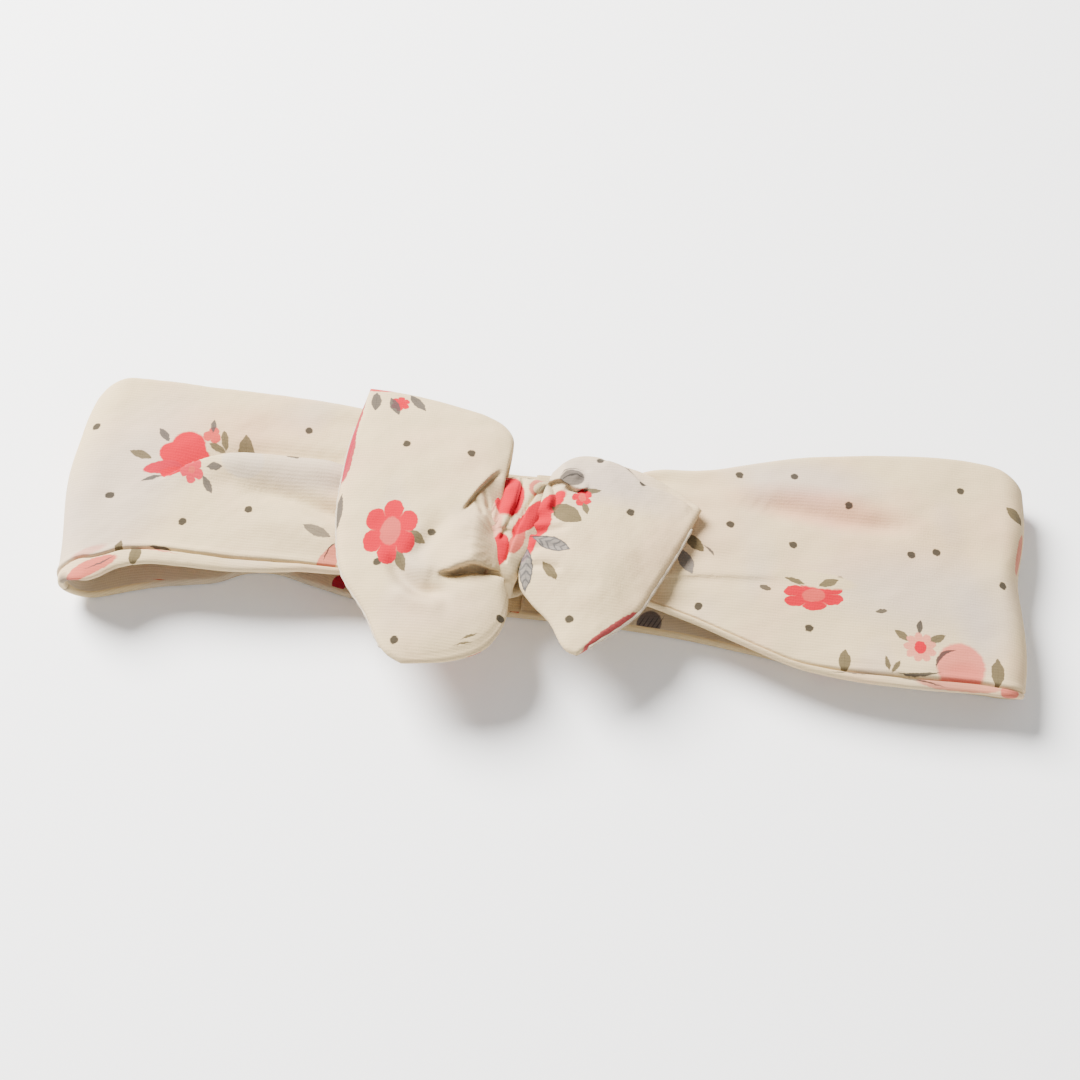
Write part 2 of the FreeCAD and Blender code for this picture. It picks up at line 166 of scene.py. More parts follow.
def grid_object(name, points, charts, materials, slots=None, ring=False, normals=None, flip=False):
    """A smooth quad mesh from a grid of points in mm.

    charts are grids of print places that follow one another round the columns, sharing a column.
    slots gives each face's material, by row and column.
    """
    rows, cols = points.shape[:2]
    index = np.arange(rows * cols).reshape(rows, cols)
    right = np.roll(index, -1, 1) if ring else index[:, 1:]
    left = index if ring else index[:, :-1]
    faces = np.stack([left[:-1], left[1:], right[1:], right[:-1]], -1)
    near_side = np.concatenate([chart[:, :-1] for chart in charts], 1)
    far_side = np.concatenate([chart[:, 1:] for chart in charts], 1)
    corner = np.stack([near_side[:-1], near_side[1:], far_side[1:], far_side[:-1]], 2)
    if flip:
        faces, corner = faces[..., ::-1], corner[..., ::-1, :]
    mesh = bpy.data.meshes.new(name)
    mesh.from_pydata((points.reshape(-1, 3) * MM).tolist(), [], faces.reshape(-1, 4).tolist())
    layer = mesh.uv_layers.new(name="print")
    layer.data.foreach_set("uv", (corner / 100.0).astype(np.float32).ravel())
    for material in materials:
        mesh.materials.append(material)
    if slots is not None:
        mesh.polygons.foreach_set("material_index", slots.astype(np.int32).ravel())
    mesh.shade_smooth()
    if normals is not None:
        mesh.normals_split_custom_set_from_vertices(normals.reshape(-1, 3).tolist())
    mesh.update()
    return place(name, mesh)


def grid_normals(points, ring):
    """Unit vertex normals of a grid, outward for the winding that grid_object uses."""
    along = np.gradient(points, axis=0)
    if ring:
        across = np.roll(points, -1, 1) - np.roll(points, 1, 1)
    else:
        across = np.gradient(points, axis=1)
    normals = np.cross(along, across)
    return normals / np.maximum(np.linalg.norm(normals, axis=-1, keepdims=True), 1e-9)


# ---------------------------------------------------------------- printed jersey

CREAM = (0.572, 0.436, 0.240)
CORAL = (0.450, 0.003, 0.016)
RED = (0.400, 0.009, 0.025)
PINK = (0.465, 0.056, 0.043)
OLIVE = (0.082, 0.061, 0.027)
GREY = (0.056, 0.047, 0.042)
PALE = (0.150, 0.138, 0.130)
DARK = (0.032, 0.027, 0.023)
DOT = (0.018, 0.015, 0.010)
BLUSH = (0.570, 0.200, 0.128)
SKETCH = (0.036, 0.036, 0.040)
HEM = (0.310, 0.016, 0.034)
# painted shade: a darker cream for the back where it lies under the front
BACK_SHADE_PAINT = (0.480, 0.385, 0.262)
# a cool cream: uneven tone in the ground, and painted shade at two places on the left front
COOL = (0.455, 0.365, 0.312)
COURSE, WALE = 0.62, 0.50  # the knit's own pitch, in mm
EDGE = 0.16  # half the soft edge of a leaf, in mm


class Jersey:
    """One material: cream single jersey with its own list of printed motifs, in plan mm."""

    def __init__(self, name, tile=None):
        self.material = bpy.data.materials.new(name)
        self.material.use_nodes = True
        self.tree = self.material.node_tree
        self.tree.nodes.clear()
        uv = self.node("ShaderNodeUVMap")
        uv.uv_map = "print"
        self.flat = self.vector("SCALE", uv.outputs["UV"], scale=100.0)
        at = self.vector("WRAP", self.flat, tile, (0, 0, 0)) if tile else self.flat
        wander = self.node("ShaderNodeTexNoise", Scale=1.1, Detail=1.0)
        self.link(self.flat, wander.inputs["Vector"])
        shift = self.vector("SUBTRACT", wander.outputs["Color"], (0.5, 0.5, 0.5))
        self.inked = self.vector("MULTIPLY_ADD", shift, (0.55, 0.55, 0), at)
        self.colour = self.ground()

    def node(self, kind, **values):
        made = self.tree.nodes.new(kind)
        for socket, value in values.items():
            made.inputs[socket].default_value = value
        return made

    def link(self, a, b):
        self.tree.links.new(a, b)

    def feed(self, made, operation, *values):
        """Sets a math node's inputs: numbers are set, and sockets are linked."""
        made.operation = operation
        for socket, value in zip(made.inputs, values):
            if isinstance(value, (int, float, tuple)):
                socket.default_value = value
            else:
                self.link(value, socket)
        return made

    def math(self, operation, *values, clamp=False):
        made = self.feed(self.node("ShaderNodeMath"), operation, *values)
        made.use_clamp = clamp
        return made.outputs[0]

    def times(self, a, b):
        return self.math("MULTIPLY", a, b)

    def line(self, a, gain, shift):
        return self.math("MULTIPLY_ADD", a, gain, shift)

    def ramp(self, a, gain, shift):
        """A straight line of the value, held between 0 and 1."""
        return self.math("MULTIPLY_ADD", a, gain, shift, clamp=True)

    def vector(self, operation, *values, scale=None):
        made = self.feed(self.node("ShaderNodeVectorMath"), operation, *values)
        if scale is not None:
            made.inputs["Scale"].default_value = scale
        return made.outputs["Value" if operation in ("LENGTH", "DISTANCE") else "Vector"]

    def split(self, vector):
        made = self.node("ShaderNodeSeparateXYZ")
        self.link(vector, made.inputs[0])
        return made.outputs

    def mix(self, mask, colour, share=1.0):
        """Lays a colour over what is there, where the mask says."""
        made = self.node("ShaderNodeMix")
        made.data_type = "RGBA"
        if share != 1.0:
            mask = self.times(mask, share)
        self.link(mask, made.inputs["Factor"])
        self.link(self.colour, made.inputs["A"])
        if isinstance(colour, tuple):
            made.inputs["B"].default_value = (*colour, 1)
        else:
            self.link(colour, made.inputs["B"])
        self.colour = made.outputs["Result"]

    def noise(self, scale, detail=2.0, rough=0.5, stretch=None):
        source = self.flat
        if stretch:
            source = self.vector("MULTIPLY", source, stretch)
        made = self.node("ShaderNodeTexNoise", Scale=scale, Detail=detail, Roughness=rough)
        self.link(source, made.inputs["Vector"])
        return made.outputs["Fac"]

    def ground(self):
        """Undyed cream, a little uneven, with faint blush where print shows through."""
        base = self.node("ShaderNodeRGB")
        base.outputs[0].default_value = (*CREAM, 1)
        self.colour = base.outputs[0]
        patch = self.ramp(self.noise(0.055, 1.0), 5.0, -2.5)
        self.mix(patch, (0.590, 0.372, 0.226), 0.45)
        cool = self.ramp(self.noise(0.04, 1.0, 0.5, (1.3, 0.8, 1)), -5.0, 2.2)
        self.mix(cool, COOL, 0.80)
        fleck = self.ramp(self.noise(1.6, 3.0, 0.6, (0.5, 1.6, 1)), 1.6, -0.3)
        self.mix(fleck, (0.640, 0.505, 0.315), 0.28)
        return self.colour

    def local(self, x, y, turn, length, width):
        """The print's coordinates as a motif sees them: its own ends lie at -1 and 1."""
        made = self.node("ShaderNodeMapping")
        made.vector_type = "TEXTURE"
        self.link(self.inked, made.inputs["Vector"])
        made.inputs["Location"].default_value = (x, y, 0)
        made.inputs["Rotation"].default_value = (0, 0, math.radians(turn))
        made.inputs["Scale"].default_value = (length, width, 1)
        return made.outputs["Vector"]

    def inside(self, value, soft):
        """A mask from a value that is positive inside the motif."""
        return self.ramp(value, 1.0 / soft, 0.5)

    def dots(self, places, radius=0.98):
        mask = None
        for x, y in places:
            reach = self.vector("DISTANCE", self.inked, (x, y, 0))
            spot = self.ramp(reach, -1 / 0.22, radius / 0.22)
            mask = spot if mask is None else self.math("MAXIMUM", mask, spot)
        self.mix(mask, DOT, 0.94)

    def oval(self, x, y, turn, length, width, colour, share=1.0, soft=0.12):
        reach = self.vector("LENGTH", self.local(x, y, turn, length, width))
        mask = self.inside(self.math("SUBTRACT", 1.0, reach), soft)
        self.mix(mask, colour, share)

    def leaf(self, x, y, turn, length, width, colour, sketched=False, share=0.92):
        """A pointed leaf with a midrib; a sketched one is pale inside with hatching."""
        along, across, _ = self.split(self.local(x, y, turn, length, length))
        ratio = width / length
        squared = self.times(along, along)
        edge = self.line(squared, -ratio, ratio)
        up = self.math("ABSOLUTE", across)
        value = self.math("SUBTRACT", edge, up)
        mask = self.inside(value, EDGE / length)
        rib = self.ramp(up, -1 / (EDGE / length), 0.55)
        if sketched:
            slant = self.line(up, -1.1, along)
            hatch = self.math("SINE", self.times(slant, 17.0))
            line = self.ramp(hatch, 0.9, 0.1)
            rim = self.ramp(value, -1 / (0.30 / length), 1.2)
            drawn = self.math("MAXIMUM", rim, rib)
            ink = self.math("MAXIMUM", drawn, self.times(line, 0.75))
            self.mix(mask, PALE, 0.9)
            self.mix(self.times(mask, ink), colour, share)
        else:
            self.mix(mask, colour, share)
            self.mix(self.times(mask, rib), tuple(c * 0.62 for c in colour), 0.7)

    def flower(self, x, y, turn, radius, petals, colour, heart, squash=1.0, depth=0.26):
        """Round petals about an oval heart."""
        at = self.local(x, y, turn, radius, radius * squash)
        along, across, _ = self.split(at)
        angle = self.math("ARCTAN2", across, along)
        wave = self.math("ABSOLUTE", self.math("SINE", self.times(angle, petals / 2)))
        rim = self.line(self.math("POWER", wave, 0.6), depth, 1 - depth)
        reach = self.vector("LENGTH", at)
        mask = self.inside(self.math("SUBTRACT", rim, reach), 0.18 / radius)
        self.mix(mask, colour)
        gap = self.ramp(wave, -7.0, 1.0)
        outer = self.ramp(reach, 5.0, -2.4)
        veil = self.times(self.times(gap, outer), mask)
        self.mix(veil, tuple(0.55 * c + 0.45 * d for c, d in zip(colour, CREAM)), 0.55)
        if heart:
            self.oval(x, y, turn, radius * 0.36, radius * 0.44 * squash, heart, soft=0.12)

    def stroke(self, x, y, turn, length, width, colour, bow=0.0, share=0.9):
        """A drawn line, straight or bowed."""
        along, across, _ = self.split(self.local(x, y, turn, length, 1.0))
        squared = self.times(along, along)
        drop = self.line(squared, bow, across)
        thick = self.line(squared, -width, width)
        mask = self.inside(self.math("SUBTRACT", thick, self.math("ABSOLUTE", drop)), 0.14)
        self.mix(mask, colour, share)

    def finish(self):
        """Matt knit: fine courses along the band, soft fuzz, and a little unevenness, with painted shade in
        the knit's grooves.
        """
        along, across, _ = self.split(self.flat)
        sway = self.noise(0.5, 1.0, 0.5, (0.4, 1, 1))
        course = self.line(sway, 3.2, self.times(across, math.tau / COURSE))
        wale = self.times(along, math.tau / WALE)
        knit = self.line(self.math("SINE", wale), 0.35, self.math("SINE", course))
        fuzz = self.noise(2.6, 3.0, 0.65)
        lump = self.noise(0.16, 2.0, 0.5, (0.7, 1.2, 1))
        height = self.line(fuzz, 1.5, self.times(knit, 0.13))
        height = self.line(lump, 3.0, height)
        bump = self.node("ShaderNodeBump", Strength=0.36, Distance=0.00016)
        self.link(height, bump.inputs["Height"])
        # painted shade and light: the colour follows the knit's relief, darker in its grooves and lighter on
        # raised fuzz
        knit_relief_shade = self.line(self.line(fuzz, 2.2, knit), 0.05, 0.905)
        dim = self.node("ShaderNodeVectorMath")
        dim.operation = "SCALE"
        self.link(self.colour, dim.inputs[0])
        self.link(knit_relief_shade, dim.inputs["Scale"])
        self.colour = dim.outputs[0]
        shader = self.node("ShaderNodeBsdfPrincipled")
        shader.inputs["Roughness"].default_value = 0.92
        shader.inputs["Specular IOR Level"].default_value = 0.12
        shader.inputs["Sheen Weight"].default_value = 0.06
        shader.inputs["Sheen Roughness"].default_value = 0.5
        self.link(self.colour, shader.inputs["Base Color"])
        self.link(bump.outputs["Normal"], shader.inputs["Normal"])
        output = self.node("ShaderNodeOutputMaterial")
        self.link(shader.outputs["BSDF"], output.inputs["Surface"])
        return self.material


def all_over():
    """The repeat that covers every side the others don't: sprigs, flowers and dots, and painted shade on the
    back where it shows under the front.
    """
    ink = Jersey("jersey_all_over", tile=(62, 48, 1))
    ink.dots([(6, 6), (24, 3), (45, 5), (58, 17), (33, 22), (3, 27), (50, 34), (20, 40), (38, 44)])
    ink.flower(16, 16, 10, 5.6, 6, CORAL, PINK)
    ink.leaf(23.5, 13.5, -25, 2.4, 1.1, OLIVE)
    ink.leaf(10.5, 9.5, 60, 2.4, 1, GREY)
    ink.oval(44, 20, 20, 5.2, 4, CORAL)
    ink.oval(40.5, 17.5, -15, 4, 2.6, CORAL)
    ink.stroke(42, 17, 12, 4.5, 0.22, BLUSH, 0.8)
    ink.leaf(50.5, 25, 40, 3, 1.4, OLIVE)
    ink.leaf(36, 25.5, 130, 2.6, 1.1, GREY, sketched=True)
    ink.flower(51, 15, 0, 2.4, 5, CORAL, PINK)
    ink.flower(9, 37, 0, 3.4, 8, PINK, CORAL)
    ink.leaf(4.5, 42, 130, 2, 0.9, OLIVE)
    ink.leaf(14, 42, 45, 2, 0.9, OLIVE)
    ink.oval(30, 33, 0, 4.2, 3.6, PINK, 0.9)
    ink.stroke(29, 35, 200, 3.6, 0.16, GREY, 1.2)
    ink.leaf(35.6, 30, -40, 2.6, 1.1, GREY, sketched=True)
    # the parts of the back that show below the front: painted shade, plain cream over the repeat, and a few
    # printed marks
    ink.inked = ink.flat
    # painted shade on the right back, under the front
    ink.oval(193, 55, 0, 34, 9, BACK_SHADE_PAINT, soft=0.3)
    ink.oval(200, 54.2, 15, 3.2, 2.9, (0.125, 0.100, 0.090))
    for k in range(5):
        ink.stroke(197.6 + 1.2 * k, 54.4, 55, 2.4, 0.14, DARK, 0.1)
    ink.oval(195, -59.5, 0, 32, 6, CREAM, soft=0.3)
    # painted shade on the left back and on its edge strip, under the front
    ink.oval(-142, 66, 0, 52, 13, BACK_SHADE_PAINT, soft=0.2)
    ink.oval(-165, -60, 0, 40, 6, BACK_SHADE_PAINT, soft=0.3)
    ink.oval(-174, 61.4, 50, 2.4, 1.5, HEM)
    ink.stroke(-136, 70.4, 2, 8, 0.3, PINK, 0.4)
    ink.oval(-110, -67, 0, 18, 12, CREAM, soft=0.3)
    ink.oval(-104, -64.5, 20, 2.6, 1.6, GREY, 0.7, soft=0.5)
    return ink.finish()


def print_front_left():
    ink = Jersey("jersey_front_left")
    # painted shade: cooler, darker cream where the front curves away round the left fold
    ink.oval(-90, -4, 70, 24, 10, COOL, 0.6, soft=0.9)
    ink.oval(-66, 15, 5, 16, 5.5, BLUSH, 0.20, soft=0.9)
    ink.dots([(-96.8, 12.6), (-91.2, -4.6), (-75, -9.5), (-61.7, -5.3), (-52.6, 16.2)])
    # one leaf runs in under the long crease
    ink.leaf(-65, 9, 98, 4.6, 2, OLIVE)
    # a cool cream over the leaf's lower end and along the slope below the crease: painted shade, which also
    # hides the leaf where the fold covers it
    ink.oval(-64.6, 5, 0, 4.4, 2.9, (0.535, 0.428, 0.290), soft=0.12)
    ink.oval(-50, 4.6, 0, 15, 3.6, COOL, 0.5, soft=0.8)
    ink.leaf(-87, 5.9, -18, 2.6, 0.95, OLIVE)
    ink.leaf(-83, 11.2, -50, 2.1, 0.8, GREY)
    ink.oval(-54.4, 7, -5, 1.5, 0.45, DOT, 0.86)
    ink.stroke(-70.6, 6.3, 17, 7, 0.26, GREY, 0.4)
    ink.leaf(-83.6, 0.2, 25, 2.3, 0.5, GREY)
    ink.oval(-77.3, 9.2, -20, 3.6, 3.4, CORAL)
    ink.oval(-75.8, 6.6, 0, 3.4, 3, CORAL)
    ink.oval(-80.7, 7, 10, 2.5, 2.5, CORAL)
    ink.oval(-78.6, 5, 0, 3.6, 2.4, CORAL)
    ink.oval(-82, 3.3, 20, 4, 1.5, RED)
    ink.oval(-79.2, 2.4, 14, 3, 1.6, CORAL)
    ink.stroke(-76, 4.7, 24, 4.2, 0.22, PALE, 0.4)
    ink.stroke(-71.6, 6.9, 14, 2, 0.16, RED, 0.2)
    ink.flower(-74.9, 2, 15, 2.5, 5, (0.470, 0.030, 0.042), None, depth=0.45)
    ink.oval(-74.9, 2, 0, 0.7, 0.6, PINK)
    ink.flower(-72.8, 12.3, 20, 2, 3, PINK, None, depth=0.4)
    ink.leaf(-71.4, 9.9, -15, 1.9, 0.75, OLIVE)
    ink.leaf(-73, 14.6, 95, 1.7, 0.6, GREY)
    ink.leaf(-70, 11.6, 105, 2.2, 0.8, OLIVE)
    ink.leaf(-70.3, 3.2, 8, 1.7, 0.7, GREY)
    ink.leaf(-71.4, -0.4, -55, 2.1, 0.8, GREY)
    ink.leaf(-46.6, -8.7, -18, 3.3, 1.2, GREY, share=0.8)
    ink.oval(-43.2, -14.6, 60, 3.8, 1.9, PINK, 0.75)
    ink.stroke(-43.6, -12.4, 60, 2.6, 0.2, DARK, 0.8)
    ink.leaf(-87, -16.8, 80, 1.5, 0.8, OLIVE)
    ink.oval(-93, -18.6, 30, 3.6, 0.9, PINK, 0.4, soft=0.5)
    # the turned strip under the lengthwise seam has its own piece of the print
    ink.oval(-92.4, -62.8, 34, 6.4, 1.7, PINK, 0.85)
    ink.stroke(-90, -61.3, 38, 3.4, 0.2, GREY, -0.4)
    ink.oval(-99.4, -66.6, 60, 3.2, 2.6, GREY, 0.75, soft=0.5)
    ink.leaf(-83.4, -58.2, 84, 2.8, 1.2, OLIVE)
    ink.stroke(-78, -16.1, -6, 3, 0.3, DARK, 0.2)
    ink.stroke(-80, -56.8, -3, 5.5, 0.16, PINK, 0.2)
    ink.stroke(-50, -55.8, 0, 6.5, 0.18, PINK, 0.2)
    return ink.finish()


def print_front_right():
    ink = Jersey("jersey_front_right")
    ink.oval(54, 16, 0, 14, 5, COOL, 0.6, soft=0.9)
    ink.oval(80, -8, 0, 18, 8, COOL, 0.5, soft=0.9)
    ink.oval(36, 4, 90, 14, 7, (0.585, 0.400, 0.235), 0.6, soft=0.9)
    ink.oval(59, 9.5, -4, 16, 4, BLUSH, 0.42, soft=0.9)
    ink.oval(72, 5, 0, 20, 9, BLUSH, 0.13, soft=0.9)
    ink.dots([
        (40.5, 16.3), (52.2, 16.9), (39.3, 3.2), (52.6, -0.2), (63.9, 10.9), (87.7, 18), (77.4, 0.6),
        (82.6, 1.9), (96.9, -4.2), (34, -16.4), (56.9, -19), (62.6, -7.4),
    ])
    ink.oval(47.5, -11, -10, 1.25, 0.55, DOT, 0.86)
    ink.oval(71.5, -13.6, 15, 1.25, 0.5, DOT, 0.86)
    ink.leaf(32, -2.4, -38, 2.8, 1.2, OLIVE)
    ink.leaf(30.6, -6.6, -62, 3.2, 1.5, (0.130, 0.112, 0.100))
    ink.stroke(35.3, -3.6, -38, 1.7, 0.22, GREY, 0.3)
    ink.flower(57.4, -11.6, 8, 6.6, 6, CORAL, PINK, squash=0.52)
    ink.oval(57.4, -7.9, -4, 8.4, 1.9, CREAM, soft=0.2)
    ink.leaf(53.4, -8.6, -16, 2.2, 0.6, OLIVE)
    ink.leaf(60.4, -8.4, 24, 2.2, 0.9, OLIVE)
    ink.leaf(76, -18.6, -35, 2, 0.85, OLIVE)
    ink.leaf(79.4, -16.2, 90, 1.6, 0.65, DARK)
    ink.leaf(83, -18.4, 28, 2.1, 0.85, OLIVE)
    ink.flower(79.6, -20.8, 0, 3.4, 9, BLUSH, CORAL, depth=0.3)
    ink.oval(87.9, -24.2, 0, 4.9, 5.4, (0.546, 0.130, 0.092), 0.92)
    ink.oval(88.6, -25.8, 10, 3.6, 2.6, PINK, 0.25, soft=0.6)
    ink.stroke(84.1, -21.9, 48, 3.2, 0.46, DARK, 1.2)
    ink.stroke(79.6, -27, 8, 4.6, 0.34, DARK, -0.5)
    ink.leaf(64.4, -25.6, 92, 2.5, 1.25, OLIVE)
    ink.leaf(73, -25.2, 105, 1.7, 0.55, OLIVE)
    ink.leaf(74.8, -25.8, 60, 1.6, 0.55, OLIVE)
    ink.leaf(95.2, -24.6, 92, 3.4, 1.25, OLIVE)
    ink.leaf(99, 13.6, -38, 2.6, 1.3, OLIVE)
    ink.oval(101.5, 5, 90, 5, 1.1, CORAL, 0.6)
    ink.oval(87.5, -68.4, 0, 8.5, 1.3, PINK, 0.6)
    ink.oval(98, -68.8, 0, 2.2, 1.6, CORAL, 0.7)
    ink.stroke(68, -68, 3, 7, 0.2, GREY, 0.3)
    ink.stroke(80, -68.4, -4, 5, 0.2, DARK, 0.2)
    return ink.finish()


def print_left_tail():
    ink = Jersey("jersey_left_tail")
    ink.oval(-14, -8, 60, 9, 5, (0.560, 0.405, 0.240), 0.5, soft=0.9)
    ink.oval(-20, -27, 10, 11, 5, (0.550, 0.395, 0.265), 0.5, soft=0.9)
    ink.dots([(-30.3, 11.9), (-16.3, 10.5), (-22.1, -9), (-32.3, -17), (-26.3, -34), (-5.8, -26.4)])
    ink.leaf(-25.2, -10.6, -28, 2.4, 1.15, OLIVE)
    ink.leaf(-27.8, -15.9, -62, 2.9, 1.05, OLIVE)
    ink.flower(-30.6, -9.7, 0, 5.9, 6, CORAL, (0.450, 0.072, 0.057), squash=1.28, depth=0.34)
    ink.flower(-33.3, 22.7, 0, 2.1, 6, CORAL, None, depth=0.35)
    ink.leaf(-38.6, 22.9, -84, 2.5, 1.15, GREY)
    ink.leaf(-34.4, 21.9, -60, 2.6, 1, GREY)
    ink.leaf(-29.6, 23.4, -48, 3.1, 1, GREY)
    ink.oval(-37.9, 26.6, 3, 3.3, 0.9, CORAL, 0.9)
    ink.stroke(-32.6, 26.6, -8, 3.4, 0.2, CORAL, 0.2)
    ink.oval(-42.35, 12.6, 85, 13.4, 0.75, HEM, 0.95)
    ink.oval(-42.4, 8.6, 88, 6.5, 1.15, HEM, 0.95)
    ink.leaf(-42.4, -5.6, 88, 4.6, 1, GREY)
    ink.stroke(-11.5, -31.6, 28, 1.9, 0.2, OLIVE, 0.2)
    ink.stroke(-12.6, -33.2, 20, 1.9, 0.16, OLIVE, 0.2)
    return ink.finish()


def print_right_tail():
    ink = Jersey("jersey_right_tail")
    ink.oval(12, 9, -20, 14, 5, COOL, 0.7, soft=0.9)
    ink.dots([(18.2, 0.8), (8.1, -25), (10.8, 13.4), (20.2, 8.3)])
    ink.oval(1.5, 1, 52, 4.2, 1.9, CORAL)
    ink.oval(-0.8, -4, 58, 3.8, 2.6, CORAL)
    ink.oval(-3.4, -9.6, 66, 4.4, 2.6, CORAL)
    ink.leaf(5, -1.2, -28, 3.9, 2.2, OLIVE)
    ink.leaf(9.6, 4.9, 12, 2.2, 0.75, OLIVE)
    ink.leaf(8.8, 0.6, -70, 1.9, 0.7, OLIVE)
    ink.flower(7.9, 3, 0, 2.2, 5, CORAL, PINK, depth=0.42)
    ink.oval(5.4, 8, 10, 2.5, 1.9, GREY, 0.85)
    ink.stroke(5.2, 8.6, 15, 2.4, 0.22, DARK, 0.9)
    ink.stroke(4.8, 10.2, 20, 2.4, 0.16, GREY, 0.7)
    ink.leaf(2.7, -8.6, -18, 4.3, 1.6, SKETCH, sketched=True)
    ink.leaf(-1.9, -14.6, -86, 4.8, 1.4, SKETCH, sketched=True)
    ink.stroke(-0.8, -7, 10, 3.2, 0.14, DARK, 0.7)
    ink.leaf(3, -14.8, -50, 2.6, 1.1, OLIVE)
    ink.oval(16.9, -26.3, 44, 7.6, 0.95, HEM, 0.9)
    ink.stroke(17.3, 12.4, -40, 1.8, 0.14, GREY, 0.1)
    return ink.finish()


def print_knot():
    ink = Jersey("jersey_knot")
    ink.oval(-9.6, -8, 84, 7, 1.5, (0.490, 0.110, 0.090), 0.6, soft=0.4)
    ink.oval(-10.2, 3, 86, 5.5, 1, BLUSH, 0.6, soft=0.4)
    ink.oval(-8.4, 9, 10, 1.9, 1.5, CORAL)
    ink.oval(-7.3, 2.4, 94, 5.2, 3.2, CORAL)
    ink.oval(-7.8, -10.6, 86, 3.8, 1.9, CORAL)
    ink.oval(-4.5, -8.6, 75, 3.2, 1.5, CORAL, 0.8)
    ink.oval(-0.9, 6.6, 60, 3.7, 2.2, PINK, 0.8)
    ink.oval(-0.9, 6.4, 60, 2.6, 1.2, CREAM)
    ink.leaf(-0.6, 5.2, 66, 2.4, 0.7, OLIVE)
    ink.oval(-1.9, -2.3, 54, 6.2, 2, CORAL)
    ink.dots([(-3.7, 8.8)], 0.8)
    ink.stroke(-10.4, -1.4, 75, 2.2, 0.22, DARK, 0.4, 0.5)
    ink.stroke(-9.4, -4.6, 60, 1.6, 0.18, DARK, -0.4, 0.5)
    return ink.finish()


# ---------------------------------------------------------------- the band

KNIT = 0.95  # half the thickness of the flat tube: two plies and the air between them
BACK_PLY = 0.92

# Stations along each half: (place, low edge y, high edge y, outer ply, inner ply, seam to low edge).
# The plies are given by their distance from the tube's mid height.  The place is x on the back and
# front, and on the fold the angle in degrees from the back.  The back lies on the table, so its
# outer ply and its seam are the same all along, and its stations leave them out.
# "cut" is each tube's flat size: twice its mean pressed width, by its length along the band.
LEFT = {
    "fold": (-93, 7, 6.05),
    "cut": {"back": (75, 48), "end": (92, 94), "front": (71, 54)},
    "back": [
        (-3.2, -17.4, 17.8, 0.98), (-14, -17.6, 18, 1.1), (-28, -17.2, 20.2, 1.6),
        (-38, -16.8, 22.4, 1.7), (-48, -14.6, 24.4, 1.8), (-57, -12.6, 25.4, 1.8),
        (-63, -13.4, 25.8, 1.8), (-68, -15.9, 26, 1.8), (-74, -17.2, 26, 1.7), (-80, -18.3, 26, 1.6),
        (-86, -20, 25.6, 1.4),
    ],
    "arc": [
        (0, -22.3, 24.4, 0.92, 1.2, 0.95), (60, -23.4, 23.4, 0.95, 1.2, 1.2),
        (100, -23.9, 23.8, 0.95, 1.2, 1.9), (140, -24.6, 25.2, 1, 1.2, 3.4),
        (180, -25, 26, 1.1, 1.2, 5.2),
    ],
    "front": [
        (-90, -23.8, 26, 1.3, 1.3, 5), (-87, -21.4, 25.9, 1.5, 1.4, 4.1),
        (-82, -19.6, 25.8, 1.7, 1.5, 3.2), (-76, -19.2, 25.6, 1.9, 1.7, 2.9),
        (-68, -19.2, 25.6, 2.1, 1.8, 2.7), (-59, -18.6, 25.4, 2.3, 1.9, 2.3),
        (-49, -17.3, 24.8, 2.5, 1.9, 1.4), (-40, -16.9, 23.8, 2.6, 1.9, 1.1),
        (-27, -16.2, 18.9, 2.4, 1.9, 1), (-16, -15, 9.8, 2.5, 2.3, 1),
        (-6, -14.6, 6.6, 2.3, 2.3, 1),
    ],
    "mid": [
        (-93, 13.05), (-84, 12.9), (-70, 12.6), (-54, 12), (-40, 11.5), (-27, 11), (-16, 10.5), (-6, 10.5),
    ],
}
RIGHT = {
    "fold": (96, 5.5, 4.55),
    "cut": {"back": (77, 62), "end": (103, 87), "front": (75, 60)},
    "back": [
        (-3.2, -17.4, 17.8, 0.98), (8, -17.5, 18, 1.1), (20, -17.9, 18.2, 1.6), (32, -18.8, 18.8, 1.7),
        (44, -20.4, 20.4, 1.7), (56, -22.2, 22.8, 1.7), (68, -23.6, 24.2, 1.6), (80, -24.4, 24.8, 1.4),
        (92, -24.8, 24.6, 1.2),
    ],
    "arc": [
        (0, -25, 24, 0.92, 1.1, 0.95), (60, -26.2, 22.8, 0.95, 1.1, 1),
        (110, -28, 22.8, 0.95, 1.1, 1.2), (150, -29, 24.2, 1, 1.1, 1.5),
        (180, -29.2, 25.2, 1.1, 1.1, 1.7),
    ],
    "front": [
        (92, -29, 25.9, 1.4, 1.3, 1.9), (86, -29.2, 26.3, 1.7, 1.5, 2),
        (78, -29.5, 26.2, 2, 1.6, 1.9), (70, -29.3, 25.5, 2.2, 1.7, 1.7),
        (62, -28.6, 24.3, 2.4, 1.8, 1.3), (54, -27.2, 22.9, 2.5, 1.9, 1),
        (43, -23.5, 20.1, 2.6, 1.9, 0.95), (33, -19.7, 17.3, 2.6, 1.8, 0.95),
        (21, -16.2, 15.7, 2.4, 1.8, 0.95), (10, -14.6, 9, 2, 2.3, 0.95),
        (1, -13.6, 6, 1.4, 2, 0.95),
    ],
    "mid": [(96, 10.05), (78, 10.1), (60, 10.3), (45, 10.4), (32, 10.5), (10, 10.3), (1, 9.4)],
}
OUTER, ROLL, INNER, STRIP = 92, 8, 96, 26  # faces round the tube: ply, edge, ply, strip


